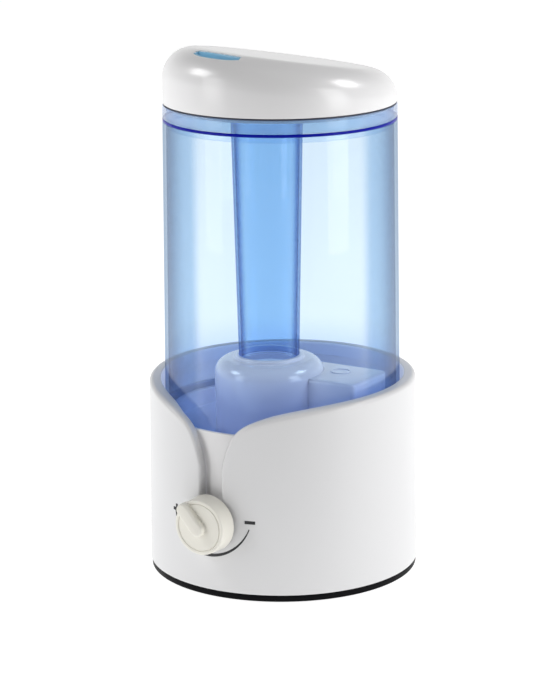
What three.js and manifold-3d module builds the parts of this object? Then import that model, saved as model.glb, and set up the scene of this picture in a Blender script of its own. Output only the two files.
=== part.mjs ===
// Ultrasonic cool mist humidifier, millimetres, +Z up.
// The origin is on the table under the tank axis; the control knob faces -Y.
import * as THREE from 'three';
import { mergeVertices } from 'three/addons/utils/BufferGeometryUtils.js';
import Module from 'manifold-3d';

const wasm = await Module();
wasm.setup();

// ---- Driving dimensions -------------------------------------------------
const GAP = 0.3; // running or resting gap between separate pieces
const ROUND = 40; // segments of the large round pieces
const MIST_ROUND = 28; // segments of the mist tube and dome
const FINE = 20; // segments of the medium round pieces
const COARSE = 10; // segments of the small round pieces

// Base casing
const PAN_BOTTOM = 1;
const PAN_FLANGE_TOP = 5.3;
const PAN_RADIUS = 91.2;
const PAN_FLOOR_TOP = 4;
const PAN_RIM = { outer: 87.8, inner: 85.6, top: 12 }; // upstand inside the shell
const VENT = { pitch: 8, half: 1.8, circle: 20.5, rows: 2 }; // slots under the fan
const NOTCH_HALF = 17; // half width of the upstand's gap behind the slot
const SHELL_RADIUS = 92; // outer radius at the table
const SHELL_DRAFT = 0.0112; // radius lost per millimetre of height
const SHELL_INNER = 88.3;
const SHELL_BOTTOM = PAN_FLANGE_TOP + GAP;
const RIM_HEIGHT = 135; // rim of the shell away from the slot
const RIM_LIP_RADIUS = 81.8; // the rim curls in to this radius
const RIM_LIP_DEPTH = 9;
const RIM_FILLET = 5;
const RIM_CORNER_RISE = 22.3; // rise of the rim round the slot's rounded corner
const RIM_CORNER_SPREAD = 3.1; // degrees over which that rise dies away
const RIM_SWEEP_SPREAD = 23.6; // degrees over which the rest of the rise dies away
const SLOT_HALF_ANGLE = THREE.MathUtils.degToRad(5.35);
const SLOT_BOTTOM = 61;
const SLOT_SHOULDER = 90; // the slot's straight edges end here
const SLOT_RETURN_RADIUS = 84.6; // inner radius of the returns beside the slot
const SLOT_RETURN_ANGLE = THREE.MathUtils.degToRad(8.2);
const GLAND_Z = 20; // height of the cord gland at the back
const GLAND_BORE = 3.3;
const GLAND = { radius: 6, flange: 7.6, inside: 85, step: 92, outside: 93.2 };

// Inner housing with the water basin
const HOUSING_RADIUS = 84;
const HOUSING_WALL = 2.6;
const HOUSING_BOTTOM = 13;
const HOUSING_TOP = 112;
const LEDGE_TOP = 100.7; // the tank stands on this ledge
const BASIN_RADIUS = 75.4;
const BASIN_FLOOR = 76;
const PLASTIC = 2.5; // thickness of the thin mouldings
const WELL = { radius: 13.4, top: 74.2, bore: 10, boss: 17, bossBottom: 68 }; // seat of the mist maker
const FLOAT_POST = { radius: 3, top: 94.8 };
const BOSS = { radius: 4.4, bottom: 10, pilot: 1.7, pilotTop: 26 }; // for the base screws

// Water tank
const TANK_BOTTOM = 101;
const TANK_RADIUS = 80.08; // outer radius at the tank's bottom
const TANK_DRAFT = 0.00955;
const TANK_WALL = 2.4;
const TANK_WALL_TOP = 308;
const TOP_PLATE_BOTTOM = 308.2;
const TOP_PLATE_TOP = 310.2;
const COLLAR_BOTTOM = 310.4;
const COLLAR_TOP = 318.9;
const COLLAR_WALL = 2.6;

// Sunken pan that closes the tank below; the dome, air box and neck stand on it
const FLANGE_TOP = 109;
const FLANGE_RADIUS = 77.3;
const SUNK_RADIUS = 72.2; // inner radius of the sunken part
const FLOOR_TOP = 98;
const FLOOR_BOTTOM = 95.5;

// Mist maker in the basin floor
const CHIMNEY = { foot: 19, footTop: 79, waist: 84, radius: 15.5, bore: 13, footBore: 12.5, top: 143 };
const CHIMNEY_PORT = { length: 25, half: 3, height: 7 };
const TRANSDUCER = { radius: 12.6, bottom: 71, top: 72.4 };
const GASKET = { radius: 13, bore: 9.8, bottom: 72.7, top: 73.9 };
const RETAINER = { radius: 18.6, bottom: 66.4, top: 67.7, nose: 13, noseTop: 70.6, bore: 9 };

// Mist tube and the dome under it, on one axis in front of the tank axis
const MIST_Y = -16.6;
const TUBE_BOTTOM = 147.6;
const TUBE_TOP = 316.5;
const TUBE_RADIUS = 20.35; // outer radius at the tube's bottom
const TUBE_FLARE = 0.0215; // radius gained per millimetre of height
const TUBE_WALL = 1.8;
const DOME_RADIUS = 36.8;
const DOME_TOP = 148.5;
const DOME_FILLET = 9.8;
const DOME_LIP_RADIUS = 23.3;
const DOME_LIP_TOP = 151;
const TUBE_SOCKET_RADIUS = 20.75;
const TUBE_SEAT = TUBE_BOTTOM - 1.2;
const DOME_BORE = 18.2;

// Air box on the tank floor and the air tower inside it
const BOX_RIGHT = 71.2;
const BOX_FRONT = -25.6;
const BOX_BACK = 19.6;
const BOX_TOP = 139.8;
const BOX_LEFT = 8; // inside the dome's circle
const BOX_CORNER = 3;
const MARK = { radius: 7, inner: 5.6, x: 45.3, y: 1.7, rise: 0.6 }; // raised ring on the box
const TOWER = { left: 39, right: 63, front: -17, back: 11, top: 130 };
const TOWER_WALL = 2;
const DOME_WINDOW = { front: -20, back: 8, bottom: 101, top: 134 };

// Float in the basin, to the left of the dome
const FLOAT_X = -50;
const FLOAT_Y = 6;
const FLOAT = { radius: 11, bore: 3.6, bottom: 76.6, top: 85.6 };
const FLOAT_CLIP = { radius: 5.4, bore: 3.3, bottom: 92.5, top: 94 };
const REED = { halfLength: 8, halfWidth: 3, bottom: 68, top: 73.2 };

// Filler cap and valve behind the dome
const VALVE_Y = 45;
const NECK_RADIUS = 19;
const NECK_WELL = 22; // radius of the room round the cap
const NECK_TOP = 109;
const NECK_BORE = 16.5;
const NECK_BOTTOM = 92;
const CAP_RADIUS = 21.6;
const CAP_BOTTOM = 88;
const CAP_DISC_TOP = 90.4;
const CAP_TOP = 103;
const VALVE_OPEN = 3.5; // height of the open valve above its seat
const POST_TOP = 79.8;
const POST_RADIUS = 3.5;
const STEM_BORE = 2.4;
const CAP_PORT = { radius: 2.2, circle: 5.6 };
const CAP_GRIPS = 10;
const GRIP_RADIUS = 1.2;

// Lid
const LID_RADIUS = 78;
const LID_BOTTOM = 320.1;
const LID_AXIS_TOP = 349.58; // height of the sloping top on the axis
const LID_SLOPE = 0.1641;
const LID_HIGH_ANGLE = THREE.MathUtils.degToRad(-21.7); // high side, from the front
const LID_FILLET = 20.9;
const LID_WALL = 2.6;
const OUTLET_ANGLE = THREE.MathUtils.degToRad(-9); // centre of the mist outlet
const OUTLET_HALF_ANGLE = THREE.MathUtils.degToRad(17.5);
const OUTLET_OUTER = 67.2;
const OUTLET_INNER = 59.6;
const INSERT_WALL = 0.9;
const INSERT_BOTTOM = 336;
const PLUG = { outer: 74.6, inner: 72.6, bottom: 316.6, top: 330 }; // ring that drops into the collar
const BRIDGE = { outer: 76, bottom: 322, top: 324.5 };

// Knob
const KNOB_Z = 52.4;
const KNOB_RADIUS = 19.4;
const KNOB_RIM_RADIUS = 18.6;
const KNOB_BACK = 92.5;
const KNOB_FRONT = 105.2;
const KNOB_BAR_FRONT = 110.2;
const KNOB_BAR_ANGLE = THREE.MathUtils.degToRad(132);
const KNOB_BAR = { hub: 4.9, tip: 4.4, reach: 17.4, start: -0.5 }; // half widths, tip centre, hub centre
const KNOB_GROOVE = { outer: 16.4, inner: 15.4, depth: 0.7 };
const SHAFT_HEAD = 3;
const BUSHING = 3.6;

// Fan under the air tower
const FAN_X = 46;
const FAN_Y = -3;
const FAN_SIZE = 50;
const FAN_BOTTOM = 6.3;
const FAN_TOP = 21.3;
const FAN_BORE = 23;
const FAN_BLADES = 7;
const FAN_HUB = 9.4;
const PLENUM = { left: 24, right: 68, half: 22, top: 36 };

// ---- Materials ----------------------------------------------------------
function plastic(color, roughness = 0.3, metalness = 0) {
  return new THREE.MeshStandardMaterial({ color, roughness, metalness });
}

const materials = {
  white: () => plastic(0xf1f1f2, 0.15),
  ivory: () => plastic(0xe1ded4, 0.35),
  blue: () => plastic(0x9fc9f2, 0.1),
  deepBlue: () => plastic(0x1c2a94, 0.1),
  lavender: () => plastic(0xa9b8de, 0.3),
  black: () => plastic(0x0c0c0e, 0.3),
  rubber: () => plastic(0x2a2a2c, 0.8),
  silicone: () => plastic(0xd9dde2, 0.6),
  steel: () => plastic(0xb9bcc0, 0.35, 1),
  aluminium: () => plastic(0xc6c9cc, 0.4, 1),
  brass: () => plastic(0xc9a34e, 0.35, 1),
  copper: () => plastic(0xb0693a, 0.4, 1),
  board: () => plastic(0x1f6b3a, 0.5),
};

// ---- Shape helpers ------------------------------------------------------
function solid(geometry) {
  const bare = geometry.clone();
  bare.deleteAttribute('normal');
  bare.deleteAttribute('uv');
  const merged = mergeVertices(bare, 1e-4);
  const index = merged.index.array;
  const triangles = [];
  for (let i = 0; i < index.length; i += 3) {
    const [a, b, c] = [index[i], index[i + 1], index[i + 2]];
    if (a !== b && b !== c && c !== a) {
      triangles.push(a, b, c);
    }
  }
  const vertProperties = Float32Array.from(merged.attributes.position.array);
  return new wasm.Manifold(
    new wasm.Mesh({ numProp: 3, vertProperties, triVerts: Uint32Array.from(triangles) }),
  );
}

function geometryOf(manifold) {
  const { vertProperties, triVerts, numProp } = manifold.getMesh();
  const geometry = new THREE.BufferGeometry();
  const positions = new Float32Array((vertProperties.length / numProp) * 3);
  for (let i = 0; i < positions.length / 3; i += 1) {
    positions.set(vertProperties.subarray(i * numProp, i * numProp + 3), i * 3);
  }
  geometry.setAttribute('position', new THREE.BufferAttribute(positions, 3));
  geometry.setIndex(new THREE.BufferAttribute(Uint32Array.from(triVerts), 1));
  geometry.computeVertexNormals();
  return geometry;
}

// A surface of revolution about Z whose profile may change with the angle.
// point(angle, row) gives [radius, height]; the angle is 0 at the front (-Y)
// and grows towards +X. angleOf spreads the columns unevenly where it is given.
function turned(rows, columns, point, angleOf = (share) => share * 2 * Math.PI) {
  const outline = Array.from({ length: rows }, (_, row) => {
    const [radius, height] = point(0, row);
    return new THREE.Vector2(radius, height);
  });
  const geometry = new THREE.LatheGeometry(outline, columns);
  const position = geometry.attributes.position;
  for (let column = 0; column <= columns; column += 1) {
    const angle = angleOf((column % columns) / columns);
    for (let row = 0; row < rows; row += 1) {
      const [radius, height] = point(angle, row);
      const vertex = column * rows + row;
      position.setXYZ(vertex, radius * Math.sin(angle), -radius * Math.cos(angle), height);
    }
  }
  return geometry;
}

// A plain surface of revolution about a vertical axis at (x, y).
function revolved(profile, segments = ROUND, x = 0, y = 0) {
  const geometry = turned(profile.length, segments, (angle, row) => profile[row]);
  return solid(geometry).translate([x, y, 0]);
}

function closed(profile) {
  return [...profile, profile[0]];
}

function ring(outer, inner, bottom, top, segments = ROUND, x = 0, y = 0) {
  return revolved(
    closed([[inner, bottom], [outer, bottom], [outer, top], [inner, top]]), segments, x, y,
  );
}

function disc(radius, bottom, top, segments = FINE, x = 0, y = 0) {
  return revolved([[0, bottom], [radius, bottom], [radius, top], [0, top]], segments, x, y);
}

function block(x0, x1, y0, y1, z0, z1) {
  const geometry = new THREE.BoxGeometry(x1 - x0, y1 - y0, z1 - z0);
  geometry.translate((x0 + x1) / 2, (y0 + y1) / 2, (z0 + z1) / 2);
  return solid(geometry);
}

function prism(shape, bottom, top, curveSegments = 8) {
  const geometry = new THREE.ExtrudeGeometry(shape, {
    depth: top - bottom, bevelEnabled: false, curveSegments,
  });
  geometry.translate(0, 0, bottom);
  return solid(geometry);
}

function roundedRectangle(x0, x1, y0, y1, radius) {
  const shape = new THREE.Shape();
  shape.moveTo(x0 + radius, y0);
  shape.lineTo(x1 - radius, y0);
  shape.absarc(x1 - radius, y0 + radius, radius, -Math.PI / 2, 0);
  shape.lineTo(x1, y1 - radius);
  shape.absarc(x1 - radius, y1 - radius, radius, 0, Math.PI / 2);
  shape.lineTo(x0 + radius, y1);
  shape.absarc(x0 + radius, y1 - radius, radius, Math.PI / 2, Math.PI);
  shape.lineTo(x0, y0 + radius);
  shape.absarc(x0 + radius, y0 + radius, radius, Math.PI, Math.PI * 1.5);
  return shape;
}

// Lays a solid made about +Z down so that +Z points to the front (-Y).
function facingFront(manifold, z = KNOB_Z) {
  return manifold.rotate([90, 0, 0]).translate([0, 0, z]);
}

// The same towards the back (+Y), at the height of the cord gland.
function facingBack(manifold) {
  return manifold.rotate([-90, 0, 0]).translate([0, 0, GLAND_Z]);
}

function union(...solids) {
  return solids.reduce((whole, next) => whole.add(next));
}

function cut(body, ...tools) {
  return tools.reduce((whole, tool) => whole.subtract(tool), body);
}

function arcPoints(centreR, centreZ, radius, from, to, steps) {
  return Array.from({ length: steps + 1 }, (_, i) => {
    const angle = THREE.MathUtils.degToRad(from + ((to - from) * i) / steps);
    return [centreR + radius * Math.cos(angle), centreZ + radius * Math.sin(angle)];
  });
}

const group = new THREE.Group();

function place(name, shape, material) {
  const geometry = shape.isBufferGeometry ? shape : geometryOf(shape);
  const mesh = new THREE.Mesh(geometry, material);
  mesh.name = name;
  group.add(mesh);
  return mesh;
}

// ---- Positions of the repeated small pieces ------------------------------
const FOOT_RADIUS = 8;
const FOOT_HEIGHT = 2;
const FOOT_CIRCLE = 70;
const SCREW_CIRCLE = 76;
const retainerScrews = [[-15.2, MIST_Y], [15.2, MIST_Y]];
const feet = [45, 135, 225, 315].map(THREE.MathUtils.degToRad).map((turn) => [
  FOOT_CIRCLE * Math.cos(turn), FOOT_CIRCLE * Math.sin(turn),
]);
const baseScrews = [60, 120, 240, 300].map(THREE.MathUtils.degToRad).map((turn) => [
  SCREW_CIRCLE * Math.cos(turn), SCREW_CIRCLE * Math.sin(turn),
]);
const BOARD = { left: -58, right: -14, front: -46, back: 10, bottom: 30, thick: 1.6 };
const boardScrews = [
  [BOARD.left + 5, BOARD.front + 12], [BOARD.right - 5, BOARD.front + 5],
  [BOARD.left + 5, BOARD.back - 5], [BOARD.right - 5, BOARD.back - 5],
];

// ---- Base casing --------------------------------------------------------
function basePan() {
  const floor = revolved([
    [0, PAN_BOTTOM], [PAN_RADIUS, PAN_BOTTOM], [PAN_RADIUS, PAN_FLANGE_TOP],
    [PAN_RIM.outer, PAN_FLANGE_TOP], [PAN_RIM.outer, PAN_RIM.top], [PAN_RIM.inner, PAN_RIM.top],
    [PAN_RIM.inner, PAN_FLOOR_TOP], [0, PAN_FLOOR_TOP],
  ]);
  const posts = boardScrews.map(([x, y]) => disc(3.2, PAN_FLOOR_TOP - 0.5, BOARD.bottom - GAP, 12, x, y));
  const pilots = boardScrews.map(([x, y]) => disc(1.3, 18, BOARD.bottom + 1, 12, x, y));
  const recesses = feet.map(([x, y]) => disc(FOOT_RADIUS + GAP, 0, FOOT_HEIGHT + GAP, FINE, x, y));
  const screwHoles = baseScrews.map(([x, y]) => disc(2.2, 0, 6, COARSE, x, y));
  const headHoles = baseScrews.map(([x, y]) => disc(4.2, 0, 2.6, COARSE, x, y));
  const vents = [];
  for (let row = -VENT.rows; row <= VENT.rows; row += 1) {
    const half = Math.sqrt(VENT.circle ** 2 - (row * VENT.pitch) ** 2);
    const y = FAN_Y + row * VENT.pitch;
    vents.push(block(FAN_X - half, FAN_X + half, y - VENT.half, y + VENT.half, 0, PAN_FLOOR_TOP + 2));
  }
  const returnNotch = block(-NOTCH_HALF, NOTCH_HALF, -92, -80, PAN_FLANGE_TOP, PAN_RIM.top + 2);
  return cut(
    union(floor, ...posts), ...pilots, ...recesses, ...screwHoles, ...headHoles, ...vents, returnNotch,
  );
}

// Height of the shell's rim at an angle from the slot's centre line.
function rimHeight(angle) {
  const away = Math.abs(Math.atan2(Math.sin(angle), Math.cos(angle)));
  if (away < SLOT_HALF_ANGLE) {
    return SLOT_BOTTOM;
  }
  const spread = THREE.MathUtils.radToDeg(away - SLOT_HALF_ANGLE);
  const sweepRise = RIM_HEIGHT - SLOT_SHOULDER - RIM_CORNER_RISE;
  const corner = RIM_CORNER_RISE * (1 - Math.exp(-spread / RIM_CORNER_SPREAD));
  const sweep = sweepRise * (1 - Math.exp(-spread / RIM_SWEEP_SPREAD));
  return SLOT_SHOULDER + corner + sweep;
}

function shellRadius(height) {
  return SHELL_RADIUS - SHELL_DRAFT * height;
}

function outerShell() {
  const fillet = arcPoints(0, 0, 1, 0, 90, 3);
  const columns = 72;
  const nearSlot = 24; // columns spent on the slot and its corners
  const nearAngle = THREE.MathUtils.degToRad(20);
  const EDGE = SLOT_HALF_ANGLE;
  const slotColumns = [0, EDGE * 0.5, EDGE - 0.0008, EDGE + 0.0002];
  const spread = (share) => {
    const column = Math.round(share * columns);
    const side = column <= columns / 2 ? 1 : -1;
    const step = side > 0 ? column : columns - column;
    let angle;
    if (step < slotColumns.length) {
      angle = slotColumns[step];
    } else if (step <= nearSlot / 2) {
      const along = (step - 3) / (nearSlot / 2 - 3);
      angle = EDGE + (nearAngle - EDGE) * along ** 1.3;
    } else {
      angle = nearAngle + (Math.PI - nearAngle) * (step - nearSlot / 2) / (columns / 2 - nearSlot / 2);
    }
    return side * angle;
  };
  const profile = (angle) => {
    const rim = rimHeight(angle);
    const away = Math.abs(angle);
    const returned = away > SLOT_HALF_ANGLE - 0.0001 && away < SLOT_RETURN_ANGLE;
    const inner = returned ? SLOT_RETURN_RADIUS : SHELL_INNER;
    const clear = HOUSING_TOP + RIM_LIP_DEPTH + 0.5; // rim height above which the lip passes over the housing
    const lip = THREE.MathUtils.mapLinear(
      THREE.MathUtils.clamp(rim, clear, clear + 5), clear, clear + 5, SLOT_RETURN_RADIUS, RIM_LIP_RADIUS,
    );
    const outer = fillet.map(([c, s]) => {
      const height = rim - RIM_FILLET + RIM_FILLET * s;
      return [shellRadius(height) - RIM_FILLET + RIM_FILLET * c, height];
    });
    return closed([
      [inner, SHELL_BOTTOM], [shellRadius(SHELL_BOTTOM), SHELL_BOTTOM], ...outer,
      [lip + 1.5, rim], [lip, rim - 1.5], [lip, rim - RIM_LIP_DEPTH],
      [inner, rim - RIM_LIP_DEPTH - 2],
    ]);
  };
  const rows = profile(0).length;
  const body = solid(turned(rows, columns, (angle, row) => profile(angle)[row], spread));
  const shaftHole = facingFront(disc(BUSHING + 1.6, 80, 100, FINE));
  const nutPocket = facingFront(disc(8, 80, SHELL_INNER, FINE));
  const glandHole = facingBack(disc(GLAND.radius + 0.4, 80, 100, FINE));
  return cut(body, shaftHole, nutPocket, glandHole);
}

function innerHousing() {
  const wall = HOUSING_RADIUS - HOUSING_WALL;
  const bowl = revolved([
    [0, BASIN_FLOOR - PLASTIC], [BASIN_RADIUS + PLASTIC, BASIN_FLOOR - PLASTIC],
    [BASIN_RADIUS + PLASTIC, LEDGE_TOP - PLASTIC], [wall, LEDGE_TOP - PLASTIC],
    [wall, HOUSING_BOTTOM], [HOUSING_RADIUS, HOUSING_BOTTOM], [HOUSING_RADIUS, HOUSING_TOP],
    [wall, HOUSING_TOP], [wall, LEDGE_TOP], [BASIN_RADIUS, LEDGE_TOP],
    [BASIN_RADIUS, BASIN_FLOOR], [0, BASIN_FLOOR],
  ]);
  const boss = disc(WELL.boss, WELL.bossBottom, BASIN_FLOOR - 1, FINE, 0, MIST_Y);
  const { left, right, front, back } = TOWER;
  const valvePost = disc(POST_RADIUS, BASIN_FLOOR - 1, POST_TOP, COARSE, 0, VALVE_Y);
  const floatPost = disc(FLOAT_POST.radius, BASIN_FLOOR - 1, FLOAT_POST.top, COARSE, FLOAT_X, FLOAT_Y);
  const bosses = baseScrews.map(([x, y]) => disc(BOSS.radius, BOSS.bottom, BASIN_FLOOR - 1, COARSE, x, y));
  const pilots = baseScrews.map(([x, y]) => disc(BOSS.pilot, 0, BOSS.pilotTop, COARSE, x, y));
  const well = disc(WELL.radius, 60, WELL.top, FINE, 0, MIST_Y);
  const window = disc(WELL.bore, 60, 90, FINE, 0, MIST_Y);
  const duct = block(
    left + TOWER_WALL, right - TOWER_WALL, front + TOWER_WALL, back - TOWER_WALL, 60, BASIN_FLOOR + 5,
  );
  const shaftHole = facingFront(disc(4, 70, 90, FINE));
  const retainerPilots = retainerScrews.map(([x, y]) => disc(0.9, 60, 73, 10, x, y));
  const whole = union(bowl, boss, valvePost, floatPost, ...bosses);
  return cut(whole, ...pilots, well, window, duct, shaftHole, ...retainerPilots);
}

function airTower() {
  const { left, right, front, back, top } = TOWER;
  return cut(
    block(left, right, front, back, BASIN_FLOOR + GAP, top),
    block(left + TOWER_WALL, right - TOWER_WALL, front + TOWER_WALL, back - TOWER_WALL, 60, top + 5),
  );
}

// ---- Mist maker ---------------------------------------------------------
function mistChimney() {
  const body = revolved(closed([
    [CHIMNEY.footBore, BASIN_FLOOR + GAP], [CHIMNEY.foot, BASIN_FLOOR + GAP],
    [CHIMNEY.foot, CHIMNEY.footTop], [CHIMNEY.radius, CHIMNEY.waist],
    [CHIMNEY.radius, CHIMNEY.top], [CHIMNEY.bore, CHIMNEY.top],
    [CHIMNEY.bore, CHIMNEY.waist], [CHIMNEY.footBore, CHIMNEY.waist - 2],
  ]), FINE, 0, MIST_Y);
  const { length, half, height } = CHIMNEY_PORT;
  const port = block(-length, length, -half, half, BASIN_FLOOR - 1, BASIN_FLOOR - 1 + height);
  const ports = [0, 60, 120].map((turn) => port.rotate([0, 0, turn]).translate([0, MIST_Y, 0]));
  return cut(body, ...ports);
}

function retainer() {
  const plate = disc(RETAINER.radius, RETAINER.bottom, RETAINER.top, FINE, 0, MIST_Y);
  const nose = disc(RETAINER.nose, RETAINER.top - 0.7, RETAINER.noseTop, FINE, 0, MIST_Y);
  const bore = disc(RETAINER.bore, 60, 80, FINE, 0, MIST_Y);
  const holes = retainerScrews.map(([x, y]) => disc(1.4, 60, 80, 10, x, y));
  return cut(union(plate, nose), bore, ...holes);
}

function screw(x, y, headBottom, headTop, tip, radius, headRadius) {
  return revolved([
    [0, headBottom], [headRadius, headBottom], [headRadius, headTop],
    [radius, headTop], [radius, tip - radius], [0, tip],
  ], 8, x, y);
}

// ---- Tank ---------------------------------------------------------------
function tankRadius(height) {
  return TANK_RADIUS - TANK_DRAFT * (height - TANK_BOTTOM);
}

function tubeRadius(height) {
  return TUBE_RADIUS + TUBE_FLARE * (height - TUBE_BOTTOM);
}

function tankWall() {
  return revolved(closed([
    [tankRadius(TANK_BOTTOM) - TANK_WALL, TANK_BOTTOM], [tankRadius(TANK_BOTTOM), TANK_BOTTOM],
    [tankRadius(TANK_WALL_TOP), TANK_WALL_TOP],
    [tankRadius(TANK_WALL_TOP) - TANK_WALL, TANK_WALL_TOP],
  ]));
}

function domeProfile(radius, fillet, top, bottom) {
  return [
    [0, bottom], [radius, bottom],
    ...arcPoints(radius - fillet, top - fillet, fillet, 0, 90, 4),
    [0, top],
  ];
}

function sunkPan() {
  const wall = SUNK_RADIUS + 2;
  return revolved([
    [0, FLOOR_BOTTOM], [wall, FLOOR_BOTTOM], [wall, TANK_BOTTOM], [FLANGE_RADIUS, TANK_BOTTOM],
    [FLANGE_RADIUS, FLANGE_TOP], [SUNK_RADIUS, FLANGE_TOP], [SUNK_RADIUS, FLOOR_TOP], [0, FLOOR_TOP],
  ]);
}

// Hollow of the air box; below the flange it keeps inside the sunken pan.
function boxHollow(bottom, top) {
  const hollow = prism(roundedRectangle(
    0, BOX_RIGHT - PLASTIC, BOX_FRONT + PLASTIC, BOX_BACK - PLASTIC, 1,
  ), bottom, top, 2);
  return hollow.subtract(ring(90, SUNK_RADIUS - GAP - PLASTIC, bottom - 1, FLANGE_TOP + GAP + PLASTIC));
}

function tankFloor() {
  const domeHole = disc(DOME_RADIUS - PLASTIC, 90, 110, MIST_ROUND, 0, MIST_Y);
  const neckHole = disc(NECK_WELL, 90, 110, FINE, 0, VALVE_Y);
  return cut(sunkPan(), domeHole, neckHole, boxHollow(90, 110));
}

function mistDome() {
  const bottom = FLOOR_TOP + GAP;
  const dome = revolved(domeProfile(DOME_RADIUS, DOME_FILLET, DOME_TOP, bottom), MIST_ROUND, 0, MIST_Y);
  const lip = disc(DOME_LIP_RADIUS, DOME_TOP - 2, DOME_LIP_TOP, MIST_ROUND, 0, MIST_Y);
  const cavity = revolved(
    domeProfile(DOME_RADIUS - PLASTIC, DOME_FILLET - PLASTIC, DOME_TOP - PLASTIC, bottom - 5),
    MIST_ROUND, 0, MIST_Y,
  );
  const socket = disc(TUBE_SOCKET_RADIUS, TUBE_SEAT, 160, MIST_ROUND, 0, MIST_Y);
  const bore = disc(DOME_BORE, 130, 160, MIST_ROUND, 0, MIST_Y);
  const { front, back, bottom: sill, top } = DOME_WINDOW;
  return cut(union(dome, lip), cavity, socket, bore, block(18, 40, front, back, sill, top));
}

function airBox() {
  const bottom = FLOOR_TOP + GAP;
  const outline = roundedRectangle(BOX_LEFT, BOX_RIGHT, BOX_FRONT, BOX_BACK, BOX_CORNER);
  const body = prism(outline, bottom, BOX_TOP, 3);
  const mark = ring(MARK.radius, MARK.inner, BOX_TOP - 1, BOX_TOP + MARK.rise, FINE, MARK.x, MARK.y);
  const beside = ring(90, SUNK_RADIUS - GAP, bottom - 1, FLANGE_TOP + GAP);
  const domeRoom = disc(DOME_RADIUS + GAP, 90, 150, MIST_ROUND, 0, MIST_Y);
  return cut(union(body, mark), beside, domeRoom, boxHollow(bottom - 5, BOX_TOP - PLASTIC));
}

function fillerNeck() {
  const underside = NECK_TOP - PLASTIC;
  const outer = NECK_WELL + 2.2;
  return revolved(closed([
    [NECK_BORE, NECK_BOTTOM], [NECK_RADIUS, NECK_BOTTOM], [NECK_RADIUS, underside],
    [NECK_WELL, underside], [NECK_WELL, FLOOR_TOP + GAP], [outer, FLOOR_TOP + GAP],
    [outer, NECK_TOP], [NECK_BORE, NECK_TOP],
  ]), FINE, 0, VALVE_Y);
}

function mistTube() {
  return revolved(closed([
    [tubeRadius(TUBE_BOTTOM) - TUBE_WALL, TUBE_BOTTOM], [tubeRadius(TUBE_BOTTOM), TUBE_BOTTOM],
    [tubeRadius(TUBE_TOP), TUBE_TOP], [tubeRadius(TUBE_TOP) - TUBE_WALL, TUBE_TOP],
  ]), MIST_ROUND, 0, MIST_Y);
}

function tankTop() {
  const edge = tankRadius(TOP_PLATE_BOTTOM);
  const spigot = edge - TANK_WALL - GAP;
  const plate = disc(edge, TOP_PLATE_BOTTOM, TOP_PLATE_TOP, ROUND);
  const locator = ring(spigot, spigot - 2, TOP_PLATE_BOTTOM - 4, TOP_PLATE_BOTTOM + 1);
  const hole = disc(tubeRadius(TOP_PLATE_TOP) + GAP, 300, 320, MIST_ROUND, 0, MIST_Y);
  return cut(union(plate, locator), hole);
}

function tankCollar() {
  const [low, high] = [tankRadius(COLLAR_BOTTOM), tankRadius(COLLAR_TOP)];
  return revolved(closed([
    [low - COLLAR_WALL, COLLAR_BOTTOM], [low, COLLAR_BOTTOM],
    [high, COLLAR_TOP], [high - COLLAR_WALL, COLLAR_TOP],
  ]));
}

function fillerCap() {
  const cap = revolved(closed([
    [STEM_BORE, CAP_BOTTOM], [CAP_RADIUS, CAP_BOTTOM], [CAP_RADIUS, CAP_TOP],
    [NECK_RADIUS + GAP, CAP_TOP], [NECK_RADIUS + GAP, CAP_DISC_TOP], [STEM_BORE, CAP_DISC_TOP],
  ]), FINE, 0, VALVE_Y);
  const port = disc(CAP_PORT.radius, 80, 95, 12, CAP_PORT.circle, 0);
  const ports = [45, 135, 225, 315].map((turn) => port.rotate([0, 0, turn]).translate([0, VALVE_Y, 0]));
  const grip = disc(GRIP_RADIUS, 80, 110, 6, CAP_RADIUS + 0.4, 0);
  const grips = Array.from({ length: CAP_GRIPS }, (_, i) => (
    grip.rotate([0, 0, (i * 360) / CAP_GRIPS]).translate([0, VALVE_Y, 0])
  ));
  return cut(cap, ...ports, ...grips);
}

const PLUNGER = {
  head: 9.4,
  stem: 2,
  foot: 4.4,
  footThick: 1.3,
  bottom: POST_TOP + 0.2,
  headBottom: CAP_DISC_TOP + VALVE_OPEN + 1.2,
};

function valvePlunger() {
  const { head, stem, foot, bottom, headBottom } = PLUNGER;
  const footTop = bottom + PLUNGER.footThick;
  return revolved([
    [0, bottom], [foot, bottom], [foot, footTop], [stem, footTop],
    [stem, headBottom], [head, headBottom], [head, headBottom + 1.4], [0, headBottom + 2.4],
  ], COARSE, 0, VALVE_Y);
}

function valveSpring() {
  const SPRING = { turns: 3, radius: 3.2, wire: 0.35, clear: 0.6, perTurn: 8 };
  const bottom = PLUNGER.bottom + PLUNGER.footThick + SPRING.clear;
  const height = CAP_BOTTOM - SPRING.clear - bottom;
  const steps = SPRING.turns * SPRING.perTurn;
  const points = Array.from({ length: steps + 1 }, (_, i) => {
    const angle = (i / SPRING.perTurn) * 2 * Math.PI;
    return new THREE.Vector3(
      SPRING.radius * Math.cos(angle), SPRING.radius * Math.sin(angle), bottom + (height * i) / steps,
    );
  });
  const wire = new THREE.Shape();
  wire.absarc(0, 0, SPRING.wire, 0, 2 * Math.PI);
  const geometry = new THREE.ExtrudeGeometry(wire, {
    steps, curveSegments: 3, extrudePath: new THREE.CatmullRomCurve3(points),
  });
  return solid(geometry).translate([0, VALVE_Y, 0]);
}

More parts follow.
